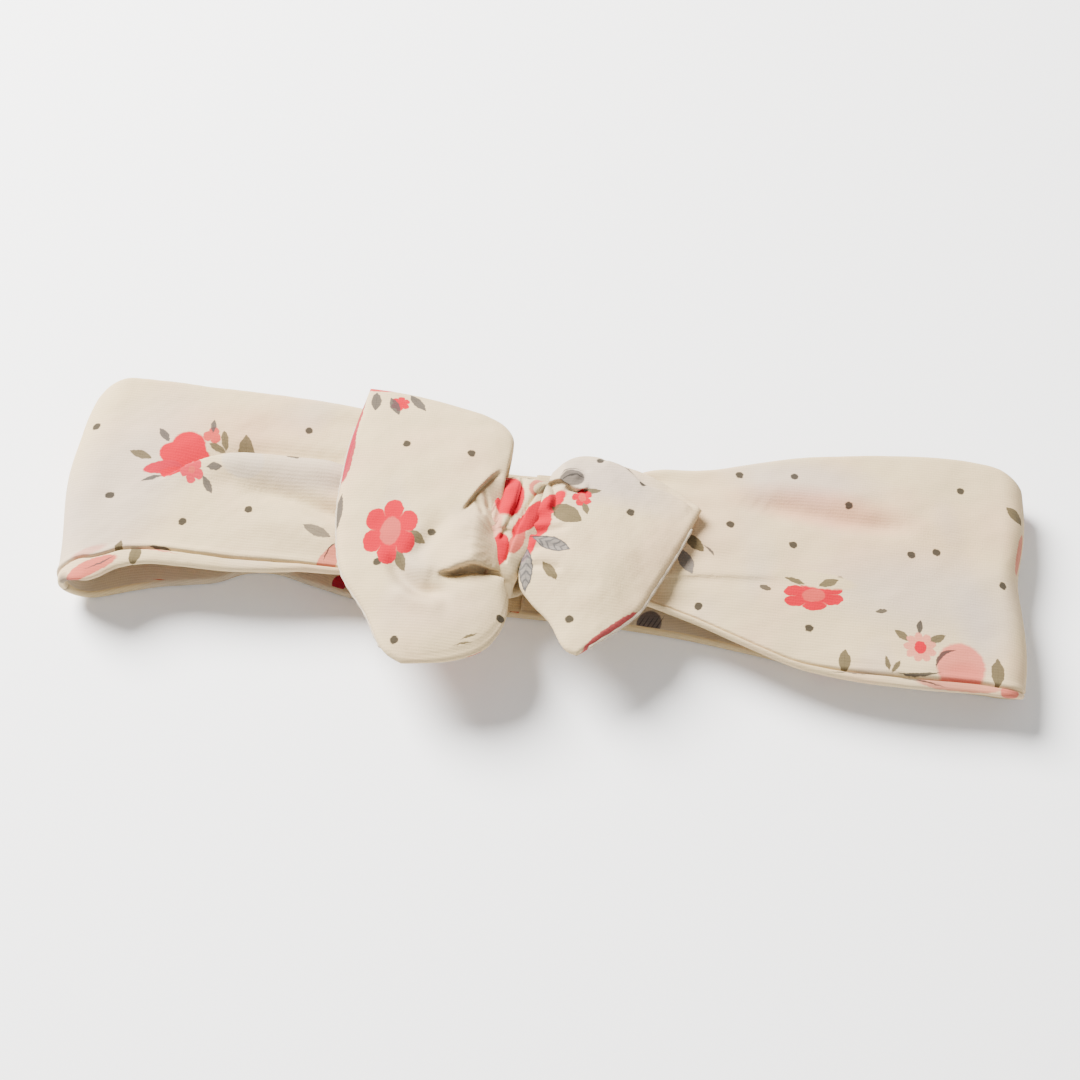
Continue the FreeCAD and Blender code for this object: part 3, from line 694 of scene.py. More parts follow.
def path_of(half):
    """Rows along a half: signed way from the fold's middle, mid point x and z, outward normal."""
    fold_x, fold_z, radius = half["fold"]
    sign = math.copysign(1, fold_x)
    quarter = math.pi * radius / 2
    back_end, front_end = half["back"][0][0], half["front"][-1][0]
    back = np.linspace(back_end, fold_x, 120)[:-1]
    front = np.linspace(fold_x, front_end, 150)[1:]
    arc = np.linspace(0, math.pi, 27)
    mid_front = smooth(half["mid"], front)
    way = np.concatenate([
        -(fold_x - back) * sign - quarter, (arc - math.pi / 2) * radius, (fold_x - front) * sign + quarter,
    ])
    x = np.concatenate([back, fold_x + sign * radius * np.sin(arc), front])
    z = np.concatenate([np.full_like(back, 0.95), fold_z - radius * np.cos(arc), mid_front])
    nx = np.concatenate([0 * back, sign * np.sin(arc), 0 * front])
    nz = np.concatenate([0 * back - 1, -np.cos(arc), 0 * front + 1])
    return way, x, z, nx, nz


def table_of(half):
    """The stations against the same signed way."""
    fold_x, _, radius = half["fold"]
    sign = math.copysign(1, fold_x)
    quarter = math.pi * radius / 2
    rows = [
        (-(fold_x - x) * sign - quarter, low, high, BACK_PLY, inner, KNIT)
        for x, low, high, inner in half["back"]
    ]
    rows += [((math.radians(row[0]) - math.pi / 2) * radius, *row[1:]) for row in half["arc"]]
    return rows + [((fold_x - row[0]) * sign + quarter, *row[1:]) for row in half["front"]]


def half_band(half, shape):
    """Grid of points round and along a half of the band, and its two charts of print places."""
    way, x, z, nx, nz = path_of(half)
    table = table_of(half)
    low, high, out, inn, inset = (smooth(table, way, k)[:, None] for k in range(1, 6))
    seam = low + inset
    share = np.linspace(0, 1, OUTER + 1) ** 1.3
    turn = np.linspace(0, math.pi, ROLL + 1)[1:-1]
    # finer towards the seam
    sweep = math.pi * (1 - (1 - np.linspace(0, 1, STRIP + 1)[1:-1]) ** 1.8)
    outer_y = seam + (high - KNIT - seam) * share
    inner_y = (high - KNIT) + (seam - high + KNIT) * np.linspace(0, 1, INNER + 1)
    edge_y = high - KNIT + KNIT * np.sin(turn)
    square = 1 - 0.42 * np.clip((inset - 0.95) / 0.6, 0, 1)  # a wider strip lies flatter
    strip_y = seam - inset * np.sin(sweep) ** square
    y = np.concatenate([outer_y, edge_y, inner_y, strip_y], 1)

    def belly(at):
        t = np.clip((at - low) / (high - low), 0, 1)
        return np.sin(math.pi * t) ** 0.75

    outer_n = KNIT + (out - KNIT) * belly(outer_y)
    inner_n = -(KNIT + (inn - KNIT) * belly(inner_y))
    edge_n = KNIT * np.cos(turn) * np.ones_like(low)
    a, b = inner_n[:, -1:], outer_n[:, :1]
    strip_n = (a + b) / 2 + (a - b) / 2 * squared_off(np.cos(sweep), square)
    # the lengthwise seam pulls the cloth into a narrow groove
    wide = np.clip((inset - 0.95) / 0.8, 0, 1)
    groove = 0.45 + 0.35 * wide
    outer_n = outer_n - groove * bell(outer_y - seam, 0.16)
    outer_n = outer_n + 0.22 * wide * bell(outer_y - seam - 0.8, 0.6)
    strip_n -= np.where(sweep > 1.6, groove * bell(strip_y - seam, 0.16) + 0.25 * wide, 0)
    b = outer_n[:, :1]
    n = np.concatenate([outer_n, edge_n, inner_n, strip_n], 1)
    points = np.stack([x[:, None] + nx[:, None] * n, y, z[:, None] + nz[:, None] * n], -1)

    fold_x, _, radius = half["fold"]
    quarter = math.pi * radius / 2
    sign = math.copysign(1, fold_x)
    # along the print, rows count outward past the fold by their way round it
    u = fold_x + sign * (quarter - way) * np.where(way > quarter, 1, (radius + KNIT) / radius)
    u = np.broadcast_to(np.where(way > quarter, x, u)[:, None], y.shape)
    v = y.copy()
    first = OUTER + ROLL
    v[:, OUTER + 1:first] = high - KNIT + KNIT * turn
    v[:, first:first + INNER + 1] = 2 * high - inner_y + KNIT * (math.pi - 2)
    main = np.stack([u[:, :first + INNER + 1], v[:, :first + INNER + 1]], -1)
    lips = np.concatenate([inner_y[:, -1:], strip_y, outer_y[:, :1]], 1)
    rise = np.concatenate([a, strip_n, b], 1)
    around = np.cumsum(np.hypot(np.diff(lips, axis=1), np.diff(rise, axis=1)), 1)
    around = np.concatenate([0 * low, around], 1)
    strip_v = seam - 40 - (around[:, -1:] - around)
    strip = np.stack([np.broadcast_to(u[:, :1], strip_v.shape), strip_v], -1)

    front = ease((way + 0.4 * quarter) / (1.5 * quarter))[:, None]
    across = np.clip((y - low) / (high - low), 0, 1)
    shaped = shape(points.copy(), way[:, None], across, front)
    return way, shaped, [main, strip]


def shape_left(p, way, across, front):
    """Creases and valleys of the left half, the deeper ones running out from the knot."""
    q = p.copy()
    x, y = p[..., 0].copy(), p[..., 1].copy()
    # the cloth below the long crease stands over the cloth above it
    tuck(
        q, x, y, [(-38, 6.8), (-46, 7.5), (-55, 7.7), (-64, 7.7), (-74, 4.7), (-83, -0.8)],
        0.9, 1.2, 0.4, 3.6, 0.2,
    )
    ridges(q, x, y, [
        ([(-36, 4.6), (-50, 5), (-62, 5.2), (-76, 1.6)], 1.3, 2.4),
        ([(-36, 9.6), (-50, 10), (-62, 9.8), (-74, 6.8)], -0.8, 1.9),
        ([(-36, -6), (-47, -2.8), (-54, -0.8), (-66, 0.6)], -2, 2.2),
        ([(-36, -11.5), (-50, -9), (-66, -7)], 0.7, 3.2),
        ([(-38, 15.5), (-52, 16), (-68, 16.5)], -0.4, 3.5),
        ([(-97, -16), (-93, -6), (-88, 2)], -0.35, 3),
    ])
    gather = 1.25 * ease((x + 58) / 44)
    pleats = np.sin(math.tau * 4.2 * across + 0.8) + 0.6 * np.sin(math.tau * 7.3 * across + 2)
    q[..., 2] += gather * 0.5 * pleats
    q[..., 2] += 0.30 * ripple(x, y, 22, 5) + 0.07 * ripple(x, y, 6, 6)
    p = p + front[..., None] * (q - p)
    # the fold is not a straight roll
    end = bell(way - 2, 7)
    p[..., 0] -= end * (3.3 * bell(y - 3, 16) + 0.9 * bell(y - 18, 7))
    p[..., 0] += end * 1.2 * ease((y - 21) / 6)
    flat = (1 - front) * np.where(across > 0, 1, 0)
    p[..., 2] += flat * ease((-way - 6) / 8) * np.where(p[..., 2] > 1.2, 0.22 * ripple(x, y, 19, 8), 0)
    return p


def shape_right(p, way, across, front):
    q = p.copy()
    x, y = p[..., 0].copy(), p[..., 1].copy()
    ridges(q, x, y, [
        ([(40, 9.8), (50, 8.8), (59, 7.6), (69, 6.8), (80, 7.2)], -1.5, 2.3),
        ([(42, 15), (56, 14), (72, 12.6)], 0.6, 3),
    ])
    tuck(q, x, y, [(18, -12.4), (28, -10.6), (40, -9.4), (56, -8.4)], 0.32, 0.25, 0.8, 2.6, 0.35)
    ridges(q, x, y, [
        ([(24, -3), (40, -1), (56, -1)], 0.35, 3.2),
        ([(84, 24), (90, 10), (88, -6)], -0.3, 4),
        ([(62, -24), (74, -25.4), (86, -25.6)], 0.35, 1.6),
    ])
    gather = 1.25 * ease((44 - x) / 36)
    pleats = np.sin(math.tau * 3.7 * across + 2.6) + 0.6 * np.sin(math.tau * 6.4 * across + 1)
    q[..., 2] += gather * 0.5 * pleats
    q[..., 2] += 0.28 * ripple(x, y, 24, 15) + 0.06 * ripple(x, y, 6, 16)
    p = p + front[..., None] * (q - p)
    end = bell(way - 2, 6)
    p[..., 0] += end * (0.7 * bell(y - 14, 8) + 0.9 * bell(y + 19, 9) - 0.9 * bell(y + 1, 6))
    p[..., 0] -= end * 1.6 * ease((y - 21) / 6)
    flat = (1 - front) * np.where(across > 0, 1, 0)
    p[..., 2] += flat * ease((-way - 6) / 8) * np.where(p[..., 2] > 1.2, 0.22 * ripple(x, y, 19, 18), 0)
    return p


def build_half(name, half, shape, panel, plain, cuts, joints, stands_for):
    """Cuts a half into three pieces that share their border points and normals."""
    way, points, charts = half_band(half, shape)
    normals = grid_normals(points, True)
    if half is RIGHT:
        normals = -normals
    columns = points.shape[1]
    slots = np.ones((len(way) - 1, columns), int)
    column = np.arange(columns)
    face_up = (column < OUTER + 4) | (column >= columns - STRIP)
    slots[(way[:-1] > -2)[:, None] & face_up] = 0
    for label, (first, last), (a, b, start, end), nodes in zip(half["cut"], cuts, joints, stands_for):
        low, high = (int(np.abs(way - at).argmin()) for at in (first, last))
        high += 1
        piece = grid_object(
            f"{name}_{label}_tube", points[low:high], [c[low:high] for c in charts], [panel, plain],
            slots[low:high - 1], True, normals[low:high], flip=half is RIGHT,
        )
        if a == b:
            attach(piece, a)
        else:
            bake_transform(piece)
        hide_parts(*nodes)


# ---------------------------------------------------------------- the tie: knot and tails


def coons(neck, free, lower, upper, s, t):
    """Points of a patch between four plan lines; s runs from the neck, t from the lower line."""
    near_side, far_side = spline(neck, t[0]), spline(free, t[0])
    low, high = spline(lower, s[:, 0]), spline(upper, s[:, 0])
    s, t = s[..., None], t[..., None]
    ruled = (1 - t) * low[:, None] + t * high[:, None] + (1 - s) * near_side[None] + s * far_side[None]
    near_line = (1 - t) * near_side[0] + t * near_side[-1]
    far_line = (1 - t) * far_side[0] + t * far_side[-1]
    corners = (1 - s) * near_line + s * far_line
    return ruled - corners


def tail(name, neck, free, lower, upper, heights, shape, panel, plain):
    """A flattened tube of jersey with rolled edges, closed at its free end.

    heights gives (share of the way, mid height, top crown, under sag).
    """
    rows = columns = 110
    length, width = 34.0, 38.0  # about the tail's own, for the roundness of its edges
    s = np.linspace(0, 1, rows) ** 0.9
    s = np.unique(np.concatenate([s, 1 - np.array([0, 0.1, 0.25, 0.45, 0.7]) / length]))
    turn = np.linspace(0, math.pi, ROLL + 1)[1:-1]
    flat = np.linspace(0, 1, columns + 1)
    inset = KNIT / width
    top_t = inset + (1 - 2 * inset) * flat
    high_t = 1 - inset * (1 - np.sin(turn))
    under_t = top_t[::-1]
    low_t = inset * (1 - np.sin(turn))
    t = np.concatenate([top_t, high_t, under_t, low_t])
    order = np.argsort(t, kind="stable")
    grid = np.empty((len(s), len(t), 2))
    way, across = np.broadcast_arrays(s[:, None], t[order][None])
    grid[:, order] = coons(neck, free, lower, upper, way, across)
    mid, crown, sag = (smooth(heights, s, k)[:, None] for k in (1, 2, 3))
    belly = np.sin(math.pi * np.clip((top_t - inset) / (1 - 2 * inset), 0, 1)) ** 0.62
    top_n = KNIT + crown * belly
    under_n = -(KNIT + sag * belly[::-1])
    ones = np.ones_like(mid)
    n = np.concatenate([top_n, KNIT * np.cos(turn) * ones, under_n, -KNIT * np.cos(turn) * ones], 1)
    from_end = np.clip((1 - s) * length / 1.3, 0, 1)[:, None]
    n = n * np.sqrt(1 - (1 - from_end) ** 2)
    points = np.concatenate([grid, (mid + n)[..., None]], -1)
    top = np.zeros(len(t))
    first = columns + 1
    top[:first] = 1
    top[first:first + len(turn)] = (1 + np.cos(turn)) / 2
    top[-len(turn):] = (1 - np.cos(turn)) / 2
    points = shape(points, way, top[None] * np.ones((len(s), 1)), grid)
    slots = np.zeros((len(s) - 1, len(t)), int)
    slots[:, first + 3:first + len(turn) + columns + 4] = 1
    normals = grid_normals(points, True)
    made = grid_object(name, points, closed(grid), [panel, plain], slots, True, normals)
    return made, points


def fan(p, x, y, centre, near_by, reach, count, height, phase=0.0):
    """Small pleats that run out from a point and die away."""
    dx, dy = x - centre[0], y - centre[1]
    way = np.hypot(dx, dy)
    fade = np.exp(-((np.maximum(way - near_by, 0) / reach) ** 1.5))
    p[..., 2] += height * fade * np.sin(np.arctan2(dy, dx) * count + phase)


def shape_left_tail(p, s, top, grid):
    q = p.copy()
    x, y = grid[..., 0].copy(), grid[..., 1].copy()
    # the round bulge that comes out of the knot, and the lobe that hangs below it
    q[..., 2] += 2.1 * np.exp(-(((x + 13.6) / 6.2) ** 2 + ((y + 10.6) / 5.8) ** 2) ** 1.4)
    q[..., 2] += 0.9 * np.exp(-(((x + 15.5) / 7.5) ** 2 + ((y + 29) / 5.5) ** 2))
    q[..., 2] += 1 * np.exp(-(((x + 15.5) / 8.5) ** 2 + ((y - 11) / 8.5) ** 2))
    tuck(
        q, x, y, [(-20.6, -18.9), (-17.6, -17.7), (-15, -16.6), (-11, -15.5), (-5.5, -15.2)],
        1.5, 1.5, 0.5, 3, 0.28,
    )
    ridges(q, x, y, [
        ([(-19.4, -19.2), (-16.4, -18), (-12.8, -17), (-9, -16.6), (-5.5, -16.6)], -3, 0.95, 0.35),
        ([(-31, -13.6), (-28.6, -17.4), (-25.9, -20.6), (-21.8, -22.6), (-15, -22.6)], -1.7, 1.7, 0.3),
        ([(-28.8, -22.4), (-23.5, -25.4), (-16.5, -25.8)], 0.7, 2),
        ([(-26.6, -14.6), (-23.6, -17.6), (-20, -18.6)], 0.6, 1.5),
    ])
    tuck(
        q, x, y, [(-16.8, -4.6), (-15.6, -1.2), (-13.8, 2.2), (-11.6, 5.4), (-9, 8.4)],
        0.5, 0.6, 0.3, 2.6, 0.3,
    )
    ridges(q, x, y, [
        ([(-16.2, -4.2), (-15.1, -1.5), (-13.3, 1.9), (-11.2, 5), (-9, 7.6)], -1, 0.42, 0.3),
        ([(-14.2, 0.2), (-12.8, -1.6), (-12, -4.2)], -0.6, 0.5, 0.25),
        ([(-12.6, 2.6), (-11.6, 0.6), (-11.2, -2)], -0.6, 0.4, 0.25),
        ([(-27, 1), (-20, 4.4), (-11, 5)], -0.35, 3.4),
        ([(-19.5, -3.5), (-21.4, -9), (-24.6, -14.6), (-27, -18.6)], -1.15, 2.1, 0.3),
    ])
    for k in range(9):  # fine ribs round the bulge
        turn = math.radians(118 + 17 * k)
        out = (math.cos(turn), math.sin(turn))
        start = (-8.2 + 1.2 * out[0], -10.2 + 2.6 * out[1])
        middle = (start[0] + 3.2 * out[0], start[1] + 3.2 * out[1])
        ridge(q, x, y, [start, middle, (start[0] + 7 * out[0], start[1] + 6 * out[1])], -0.28, 0.38, 0.35)
    fan(q, x, y, (-3, -4), 6, 7, 8, 0.30, 1)
    # the gathered middle dives under the knot
    q[..., 2] -= 2.5 * ease((x + 13.6) / 4.8) * ease((5.6 - y) / 5) * ease((y + 17.6) / 1.8)
    q[..., 2] += 0.26 * ripple(x, y, 17, 21) + 0.06 * ripple(x, y, 5, 22)
    p = p + top[..., None] * (q - p)
    p[..., 2] += 0.35 * np.sin(y / 7) * ease((s - 0.6) / 0.4)
    return p


def shape_right_tail(p, s, top, grid):
    q = p.copy()
    x, y = grid[..., 0].copy(), grid[..., 1].copy()
    q[..., 2] += 0.7 * np.exp(-(((x - 10) / 8) ** 2 + ((y + 10) / 9) ** 2))
    # the small turned lip and the pocket beside the knot
    tuck(q, x, y, [(-0.2, 6.6), (2.4, 7.4), (4.6, 6.2), (6.8, 5.2), (9.4, 5.6)], 0.9, 0.9, 0.4, 1.8, 0.15)
    ridges(q, x, y, [
        ([(3.6, 5.6), (5.8, 5), (7.8, 4.8)], -1.5, 0.7, 0.3),
        ([(0.2, 7.6), (1.6, 4.6), (2.2, 1.8), (1.6, -1.6)], -1.5, 0.8, 0.2),
    ])
    tuck(q, x, y, [(2.4, -2.4), (2.6, 1.2), (2, 4.4), (0.6, 7.4)], 0.5, 0.4, 0.4, 1.6, 0.2)
    ridges(q, x, y, [
        ([(2.2, 10.2), (4.8, 9.8), (7.6, 7.8)], 0.7, 1.2),
        ([(2.6, 12.4), (5.4, 12.2), (9.2, 9.6)], -0.4, 1),
        ([(-2.6, -6.6), (1.2, -5.4), (6.5, -4.6)], -0.6, 0.9),
        ([(-2.2, -10.2), (1.4, -9.4), (7, -9)], -0.45, 0.9),
        ([(-2.2, -13.6), (1.4, -13.6), (6, -14.8)], -0.6, 0.9),
    ])
    tuck(
        q, x, y, [(10, 14.2), (15.4, 12.8), (18, 10.6), (20.8, 8.4), (25.5, 7.2), (32, 3.6)],
        -0.5, 0.4, 0.5, 2.4, 0.12,
    )
    ridges(q, x, y, [
        ([(12, -24), (15, -14), (18, -4)], 0.35, 4),
        ([(5, -19), (9, -17), (14, -17)], -0.35, 2.4),
    ])
    fan(q, x, y, (-4, -4), 6, 8, 7, 0.26, 2)
    q[..., 2] += 0.24 * ripple(x, y, 17, 31) + 0.06 * ripple(x, y, 5, 32)
    p = p + top[..., None] * (q - p)
    p[..., 2] += 0.30 * np.sin(y / 6 + 1) * ease((s - 0.6) / 0.4)
    return p


def knot_turn(panel, plain):
    """The tie's turn round the band, front and back in one soft ring."""
    around = np.linspace(0, math.tau, 321)[:-1]
    section = np.linspace(0, math.tau, 97)[:-1]
    c, s = np.cos(around), np.sin(around)
    squared = 0.58
    y0 = -4.0 + 12.0 * squared_off(c, squared)
    z0 = 10.4 + np.where(s > 0, 5.5, 4.2) * squared_off(s, squared)
    step = np.stack([np.roll(y0, -1) - np.roll(y0, 1), np.roll(z0, -1) - np.roll(z0, 1)], -1)
    step /= np.linalg.norm(step, axis=1)[:, None]
    normal = np.stack([step[:, 1], -step[:, 0]], -1)
    for _ in range(60):  # the oval turns its corners softly
        normal = (np.roll(normal, 1, 0) + 2 * normal + np.roll(normal, -1, 0)) / 4
    normal /= np.linalg.norm(normal, axis=1)[:, None]
    degrees = np.degrees(around)
    width = smooth([
        (0, 10.6), (50, 11.8), (90, 11.2), (130, 7.6), (180, 6), (230, 9), (270, 10.6), (310, 10.4),
        (360, 10.6),
    ], degrees)
    thick = smooth(
        [(0, 3), (60, 4.2), (100, 4.6), (150, 3.6), (180, 2.6), (270, 2.8), (330, 2.6), (360, 3)], degrees
    )
    lean = smooth(
        [(0, -4.8), (60, -5.2), (100, -5.8), (150, -7.2), (180, -7.3), (270, -5), (360, -4.8)], degrees
    )
    cx = squared_off(np.cos(section), 0.8)
    cn = squared_off(np.sin(section), 0.9)
    x = lean[:, None] + width[:, None] / 2 * cx
    n = thick[:, None] / 2 * cn
    y = y0[:, None] + normal[:, :1] * n
    z = z0[:, None] + normal[:, 1:] * n
    p = np.stack([x, y, z], -1)
    q = p.copy()
    px, py = p[..., 0].copy(), p[..., 1].copy()
    # the gathered cloth lies in three soft rolls
    tuck(
        q, px, py, [(-6.0, 9.5), (-5.2, 5), (-5.8, 0), (-7.2, -5), (-8.2, -9)],
        -0.45, 0.35, 0.35, 1.5, 0.08,
    )
    ridge(q, px, py, [(-6.0, 9.5), (-5.2, 5), (-5.8, 0), (-7.2, -5), (-8.2, -9)], -0.6, 0.35, 0.1)
    tuck(
        q, px, py, [(1.2, 9.5), (-1.2, 4.4), (-3.2, -0.5), (-4.8, -7), (-6.2, -14)],
        0.6, 0.45, 0.4, 1.8, 0.08,
    )
    ridges(q, px, py, [
        ([(0.8, 9.5), (-1.6, 4.4), (-3.6, -0.5), (-5.2, -7), (-6.6, -14)], -0.8, 0.42, 0.08),
        ([(-9.2, 5), (-8.8, 1), (-9.0, -3), (-9.6, -7)], -0.8, 0.5, 0.2),
    ])
    tuck(q, px, py, [(-10.5, -7.0), (-8, -5.6), (-6.4, -5.6), (-4.4, -7.2)], 0.45, 0.35, 0.4, 1.4, 0.2)
    ridges(q, px, py, [
        ([(-7.6, 6), (-7.2, 1), (-7.8, -3)], 0.45, 1.1),
        ([(-3.0, 7), (-3.6, 2), (-4.8, -3)], 0.30, 0.9),
        ([(0.6, 4), (-1.2, -1.5), (-3.6, -9)], 0.35, 0.9),
    ])
    q[..., 2] += 0.10 * ripple(px, py, 5, 41)
    outside = (ease((z - 13.5) / 2.0) * ease((cn[None] + 0.3) / 0.6))[..., None]
    p = p + outside * (q - p)
    p[..., 0] += 0.3 * np.sin(around * 5 + 0.7)[:, None] * cx
    ring = np.concatenate([p, p[:1]], 0)
    plan = ring[..., :2]
    top = (ring[:-1, :, 2] > 12.0) & (cn[None] > -0.35)
    slots = np.where(top, 0, 1)
    made = grid_object("knot_turns", ring, closed(plan), [panel, plain], slots, True, None, flip=True)
    return made


# ---------------------------------------------------------------- seams and threads


def along_line(points, count):
    line = spline(points, np.linspace(0, 1, count))
    step = np.gradient(line, axis=0)
    return line, step / np.linalg.norm(step, axis=1)[:, None]


def cord(name, points, radius, material, scallop, pitch):
    """A thin seam edge as a swept round section, fuller and thinner along its length."""
    length = float(np.linalg.norm(np.diff(np.array(points, float), axis=0), axis=1).sum())
    count = max(int(length / (pitch / 6)), 12)
    line, step = along_line(points, count)
    up = np.array([0.0, 0.0, 1.0])
    side = np.cross(step, up)
    side /= np.linalg.norm(side, axis=1)[:, None]
    lift = np.cross(side, step)
    way = np.linspace(0, length, count)
    wide = radius * (1 + scallop * np.sin(way * math.tau / pitch) + 0.3 * scallop * np.sin(way * 1.7 + 1))
    wide *= np.sqrt(np.clip(np.minimum(way, length - way) / radius, 0.02, 1))
    turn = np.linspace(0, math.tau, 11)[:-1]
    ring = line[:, None] + wide[:, None, None] * (
        np.cos(turn)[None, :, None] * side[:, None] + np.sin(turn)[None, :, None] * lift[:, None]
    )
    plan = ring[..., :2]
    made = grid_object(name, ring, closed(plan), [material], None, True)
    return made


def stitches(name, body, points, material, length=2.0, pitch=2.8, radius=0.19):
    """A row of machine stitches, each a short tapered tube."""
    total = float(np.linalg.norm(np.diff(np.array(points, float), axis=0), axis=1).sum())
    count = max(int(total / pitch), 2)
    line, step = along_line(points, count)
    turn = np.linspace(0, math.tau, 7)[:-1]
    verts, faces = [], []
    for centre, way in zip(line, step):
        side = np.cross(way, (0, 0, 1.0))
        side /= np.linalg.norm(side)
        lift = np.cross(side, way)
        base = len(verts)
        for share, size in ((-1, 0.35), (-0.8, 0.9), (0, 1), (0.8, 0.9), (1, 0.35)):
            hub = centre + way * share * length / 2 + lift * 0.12 * (1 - share * share)
            rim = [hub + radius * size * (math.cos(a) * side + math.sin(a) * lift) for a in turn]
            verts += [tuple(point * MM) for point in rim]
        for ring in range(4):
            for k in range(6):
                a, b = base + ring * 6 + k, base + ring * 6 + (k + 1) % 6
                faces.append((a, b, b + 6, a + 6))
        faces += [tuple(base + k for k in range(5, -1, -1)), tuple(base + 24 + k for k in range(6))]
    mesh = bpy.data.meshes.new(name + "_seam_stitches")
    mesh.from_pydata(verts, [], faces)
    mesh.materials.append(material)
    mesh.shade_smooth()
    made = place(name + "_seam_stitches", mesh)
    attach(made, body)
    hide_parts(name + "_seam_thread")


def thread_material(name, colour):
    """Twisted sewing thread: a slanted ply pattern painted darker between the plies as shade, and a slight
    shine.
    """
    material = bpy.data.materials.new(name)
    material.use_nodes = True
    tree = material.node_tree
    shader = tree.nodes["Principled BSDF"]
    own = tree.nodes.new("ShaderNodeTexCoord")
    wave = tree.nodes.new("ShaderNodeTexWave")
    wave.bands_direction = "DIAGONAL"
    wave.inputs["Scale"].default_value = 900.0
    wave.inputs["Distortion"].default_value = 1.5
    tree.links.new(own.outputs["Object"], wave.inputs["Vector"])
    # painted shade: a copy of the colour a fifth darker fills the low parts of the ply bump
    ramp = tree.nodes.new("ShaderNodeMix")
    ramp.data_type = "RGBA"
    ramp.inputs["A"].default_value = (*(c * 0.8 for c in colour), 1)
    ramp.inputs["B"].default_value = (*colour, 1)
    tree.links.new(wave.outputs["Fac"], ramp.inputs["Factor"])
    tree.links.new(ramp.outputs["Result"], shader.inputs["Base Color"])
    bump = tree.nodes.new("ShaderNodeBump")
    bump.inputs["Strength"].default_value = 0.4
    bump.inputs["Distance"].default_value = 0.00008
    tree.links.new(wave.outputs["Fac"], bump.inputs["Height"])
    tree.links.new(bump.outputs["Normal"], shader.inputs["Normal"])
    shader.inputs["Roughness"].default_value = 0.7
    shader.inputs["Sheen Weight"].default_value = 0.15
    return material


# ---------------------------------------------------------------- build

plain = all_over()
thread = thread_material("thread_ecru", (0.54, 0.43, 0.30))
lip = thread_material("seam_edge", (0.50, 0.40, 0.28))

# Each half: where it is cut, the joint each piece crosses with the places where its bend starts
# and ends, and the CAD nodes each piece stands for.
build_half(
    "left", LEFT, shape_left, print_front_left(), plain,
    ((-200, -52), (-52, 42), (42, 200)),
    (("back_seam", "back_left", (-5, 0, 1), (-22, 0, 1)),
     ("back_left", "front_left", (-93, 0, 3.2), (-93, 0, 9.4)),
     ("front_left", "knot", (-24, 0, 10.5), (-10, 0, 10.5))),
    (("back_seam_outer_ply", "back_seam_inner_ply", "back_left_outer_ply", "back_left_inner_ply"),
     ("left_fold_outer_ply", "left_fold_inner_ply"),
     ("front_left_outer_ply", "front_left_inner_ply", "front_left_gather", "band_gather")),
)
build_half(
    "right", RIGHT, shape_right, print_front_right(), plain,
    ((-200, -45), (-45, 42), (42, 200)),
    (("back_seam", "back_right", (0, 0, 1), (15, 0, 1)),
     ("back_right", "front_right", (96, 0, 3.0), (96, 0, 7.8)),
     ("front_right", "front_right", None, None)),
    (("back_right_outer_ply", "back_right_inner_ply"),
     ("right_fold_outer_ply", "right_fold_inner_ply"),
     ("front_right_outer_ply", "front_right_inner_ply", "front_right_gather")),
)

left_tail, left_points = tail(
    "left_tail_tube",
    neck=[(-8.2, -15.6), (-9.4, -8), (-9.8, 0), (-10.0, 6.2)],
    free=[
        (-24.4, -38.4), (-28.2, -36.2), (-33.2, -28), (-39.6, -19), (-42.1, -10), (-43.1, 0), (-42.7, 12),
        (-40.6, 27),
    ],
    lower=[(-8.2, -15.6), (-6.2, -18.2), (-4.7, -22), (-5, -27), (-8, -33), (-13.7, -36.3), (-24.4, -38.4)],
    upper=[
        (-10, 6.2), (-9.2, 10), (-8, 14), (-8.2, 17.4), (-10.4, 20.4), (-14.6, 22.6), (-20, 24), (-28, 25.6),
        (-40.6, 27),
    ],
    heights=[
        (0, 15.4, 1.2, 0.3), (0.15, 15.5, 2, 0.4), (0.4, 15.8, 2.8, 0.5), (0.7, 16.1, 2.6, 0.6),
        (0.9, 16.2, 1.5, 0.5), (1, 16.2, 0.4, 0.3),
    ],
    shape=shape_left_tail, panel=print_left_tail(), plain=plain,
)
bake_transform(left_tail)
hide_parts("left_tail_top_ply", "left_tail_under_ply", "left_tail_neck")

right_tail, right_points = tail(
    "right_tail_tube",
    neck=[(-3.4, -15.0), (-2.6, -9), (-0.8, 0), (0.0, 6), (1.0, 10.0)],
    free=[(10.4, -32.4), (14.7, -28.5), (22, -21), (24.4, -16), (29, -6), (33, 4.3)],
    lower=[(-3.4, -15.0), (-2.8, -18), (-0.4, -21.2), (4, -25.4), (8, -31.4), (10.4, -32.4)],
    upper=[(1.0, 10.0), (4.4, 13.8), (8.5, 15.0), (12.7, 14.5), (21.5, 11.7), (30, 7), (33, 4.3)],
    heights=[
        (0, 15.7, 1.2, 0.1), (0.15, 15.6, 1.8, 0.2), (0.4, 15.5, 2.3, 0.4), (0.7, 15.4, 2, 0.6),
        (0.9, 15.4, 1.2, 0.5), (1, 15.4, 0.3, 0.3),
    ],
    shape=shape_right_tail, panel=print_right_tail(), plain=plain,
)
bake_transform(right_tail)
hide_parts("right_tail_top_ply", "right_tail_under_ply", "right_tail_neck")

knot = knot_turn(print_knot(), plain)
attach(knot, "knot")
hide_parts("knot_front_turn", "knot_back_turn")

# the seam edges of the tails
for body, end, lift, radius, scallop, pitch in (
    ("left_tail", left_points[-1, 6:100:6], -0.15, 0.30, 0.16, 2.6),
    ("right_tail", right_points[-1, 4:106:6], 0.15, 0.40, 0.12, 3.1),
):
    edge = cord(body + "_seam_edge", (end + (0, 0, lift)).tolist(), radius, lip, scallop, pitch)
    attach(edge, body)
    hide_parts(body + "_end_thread")

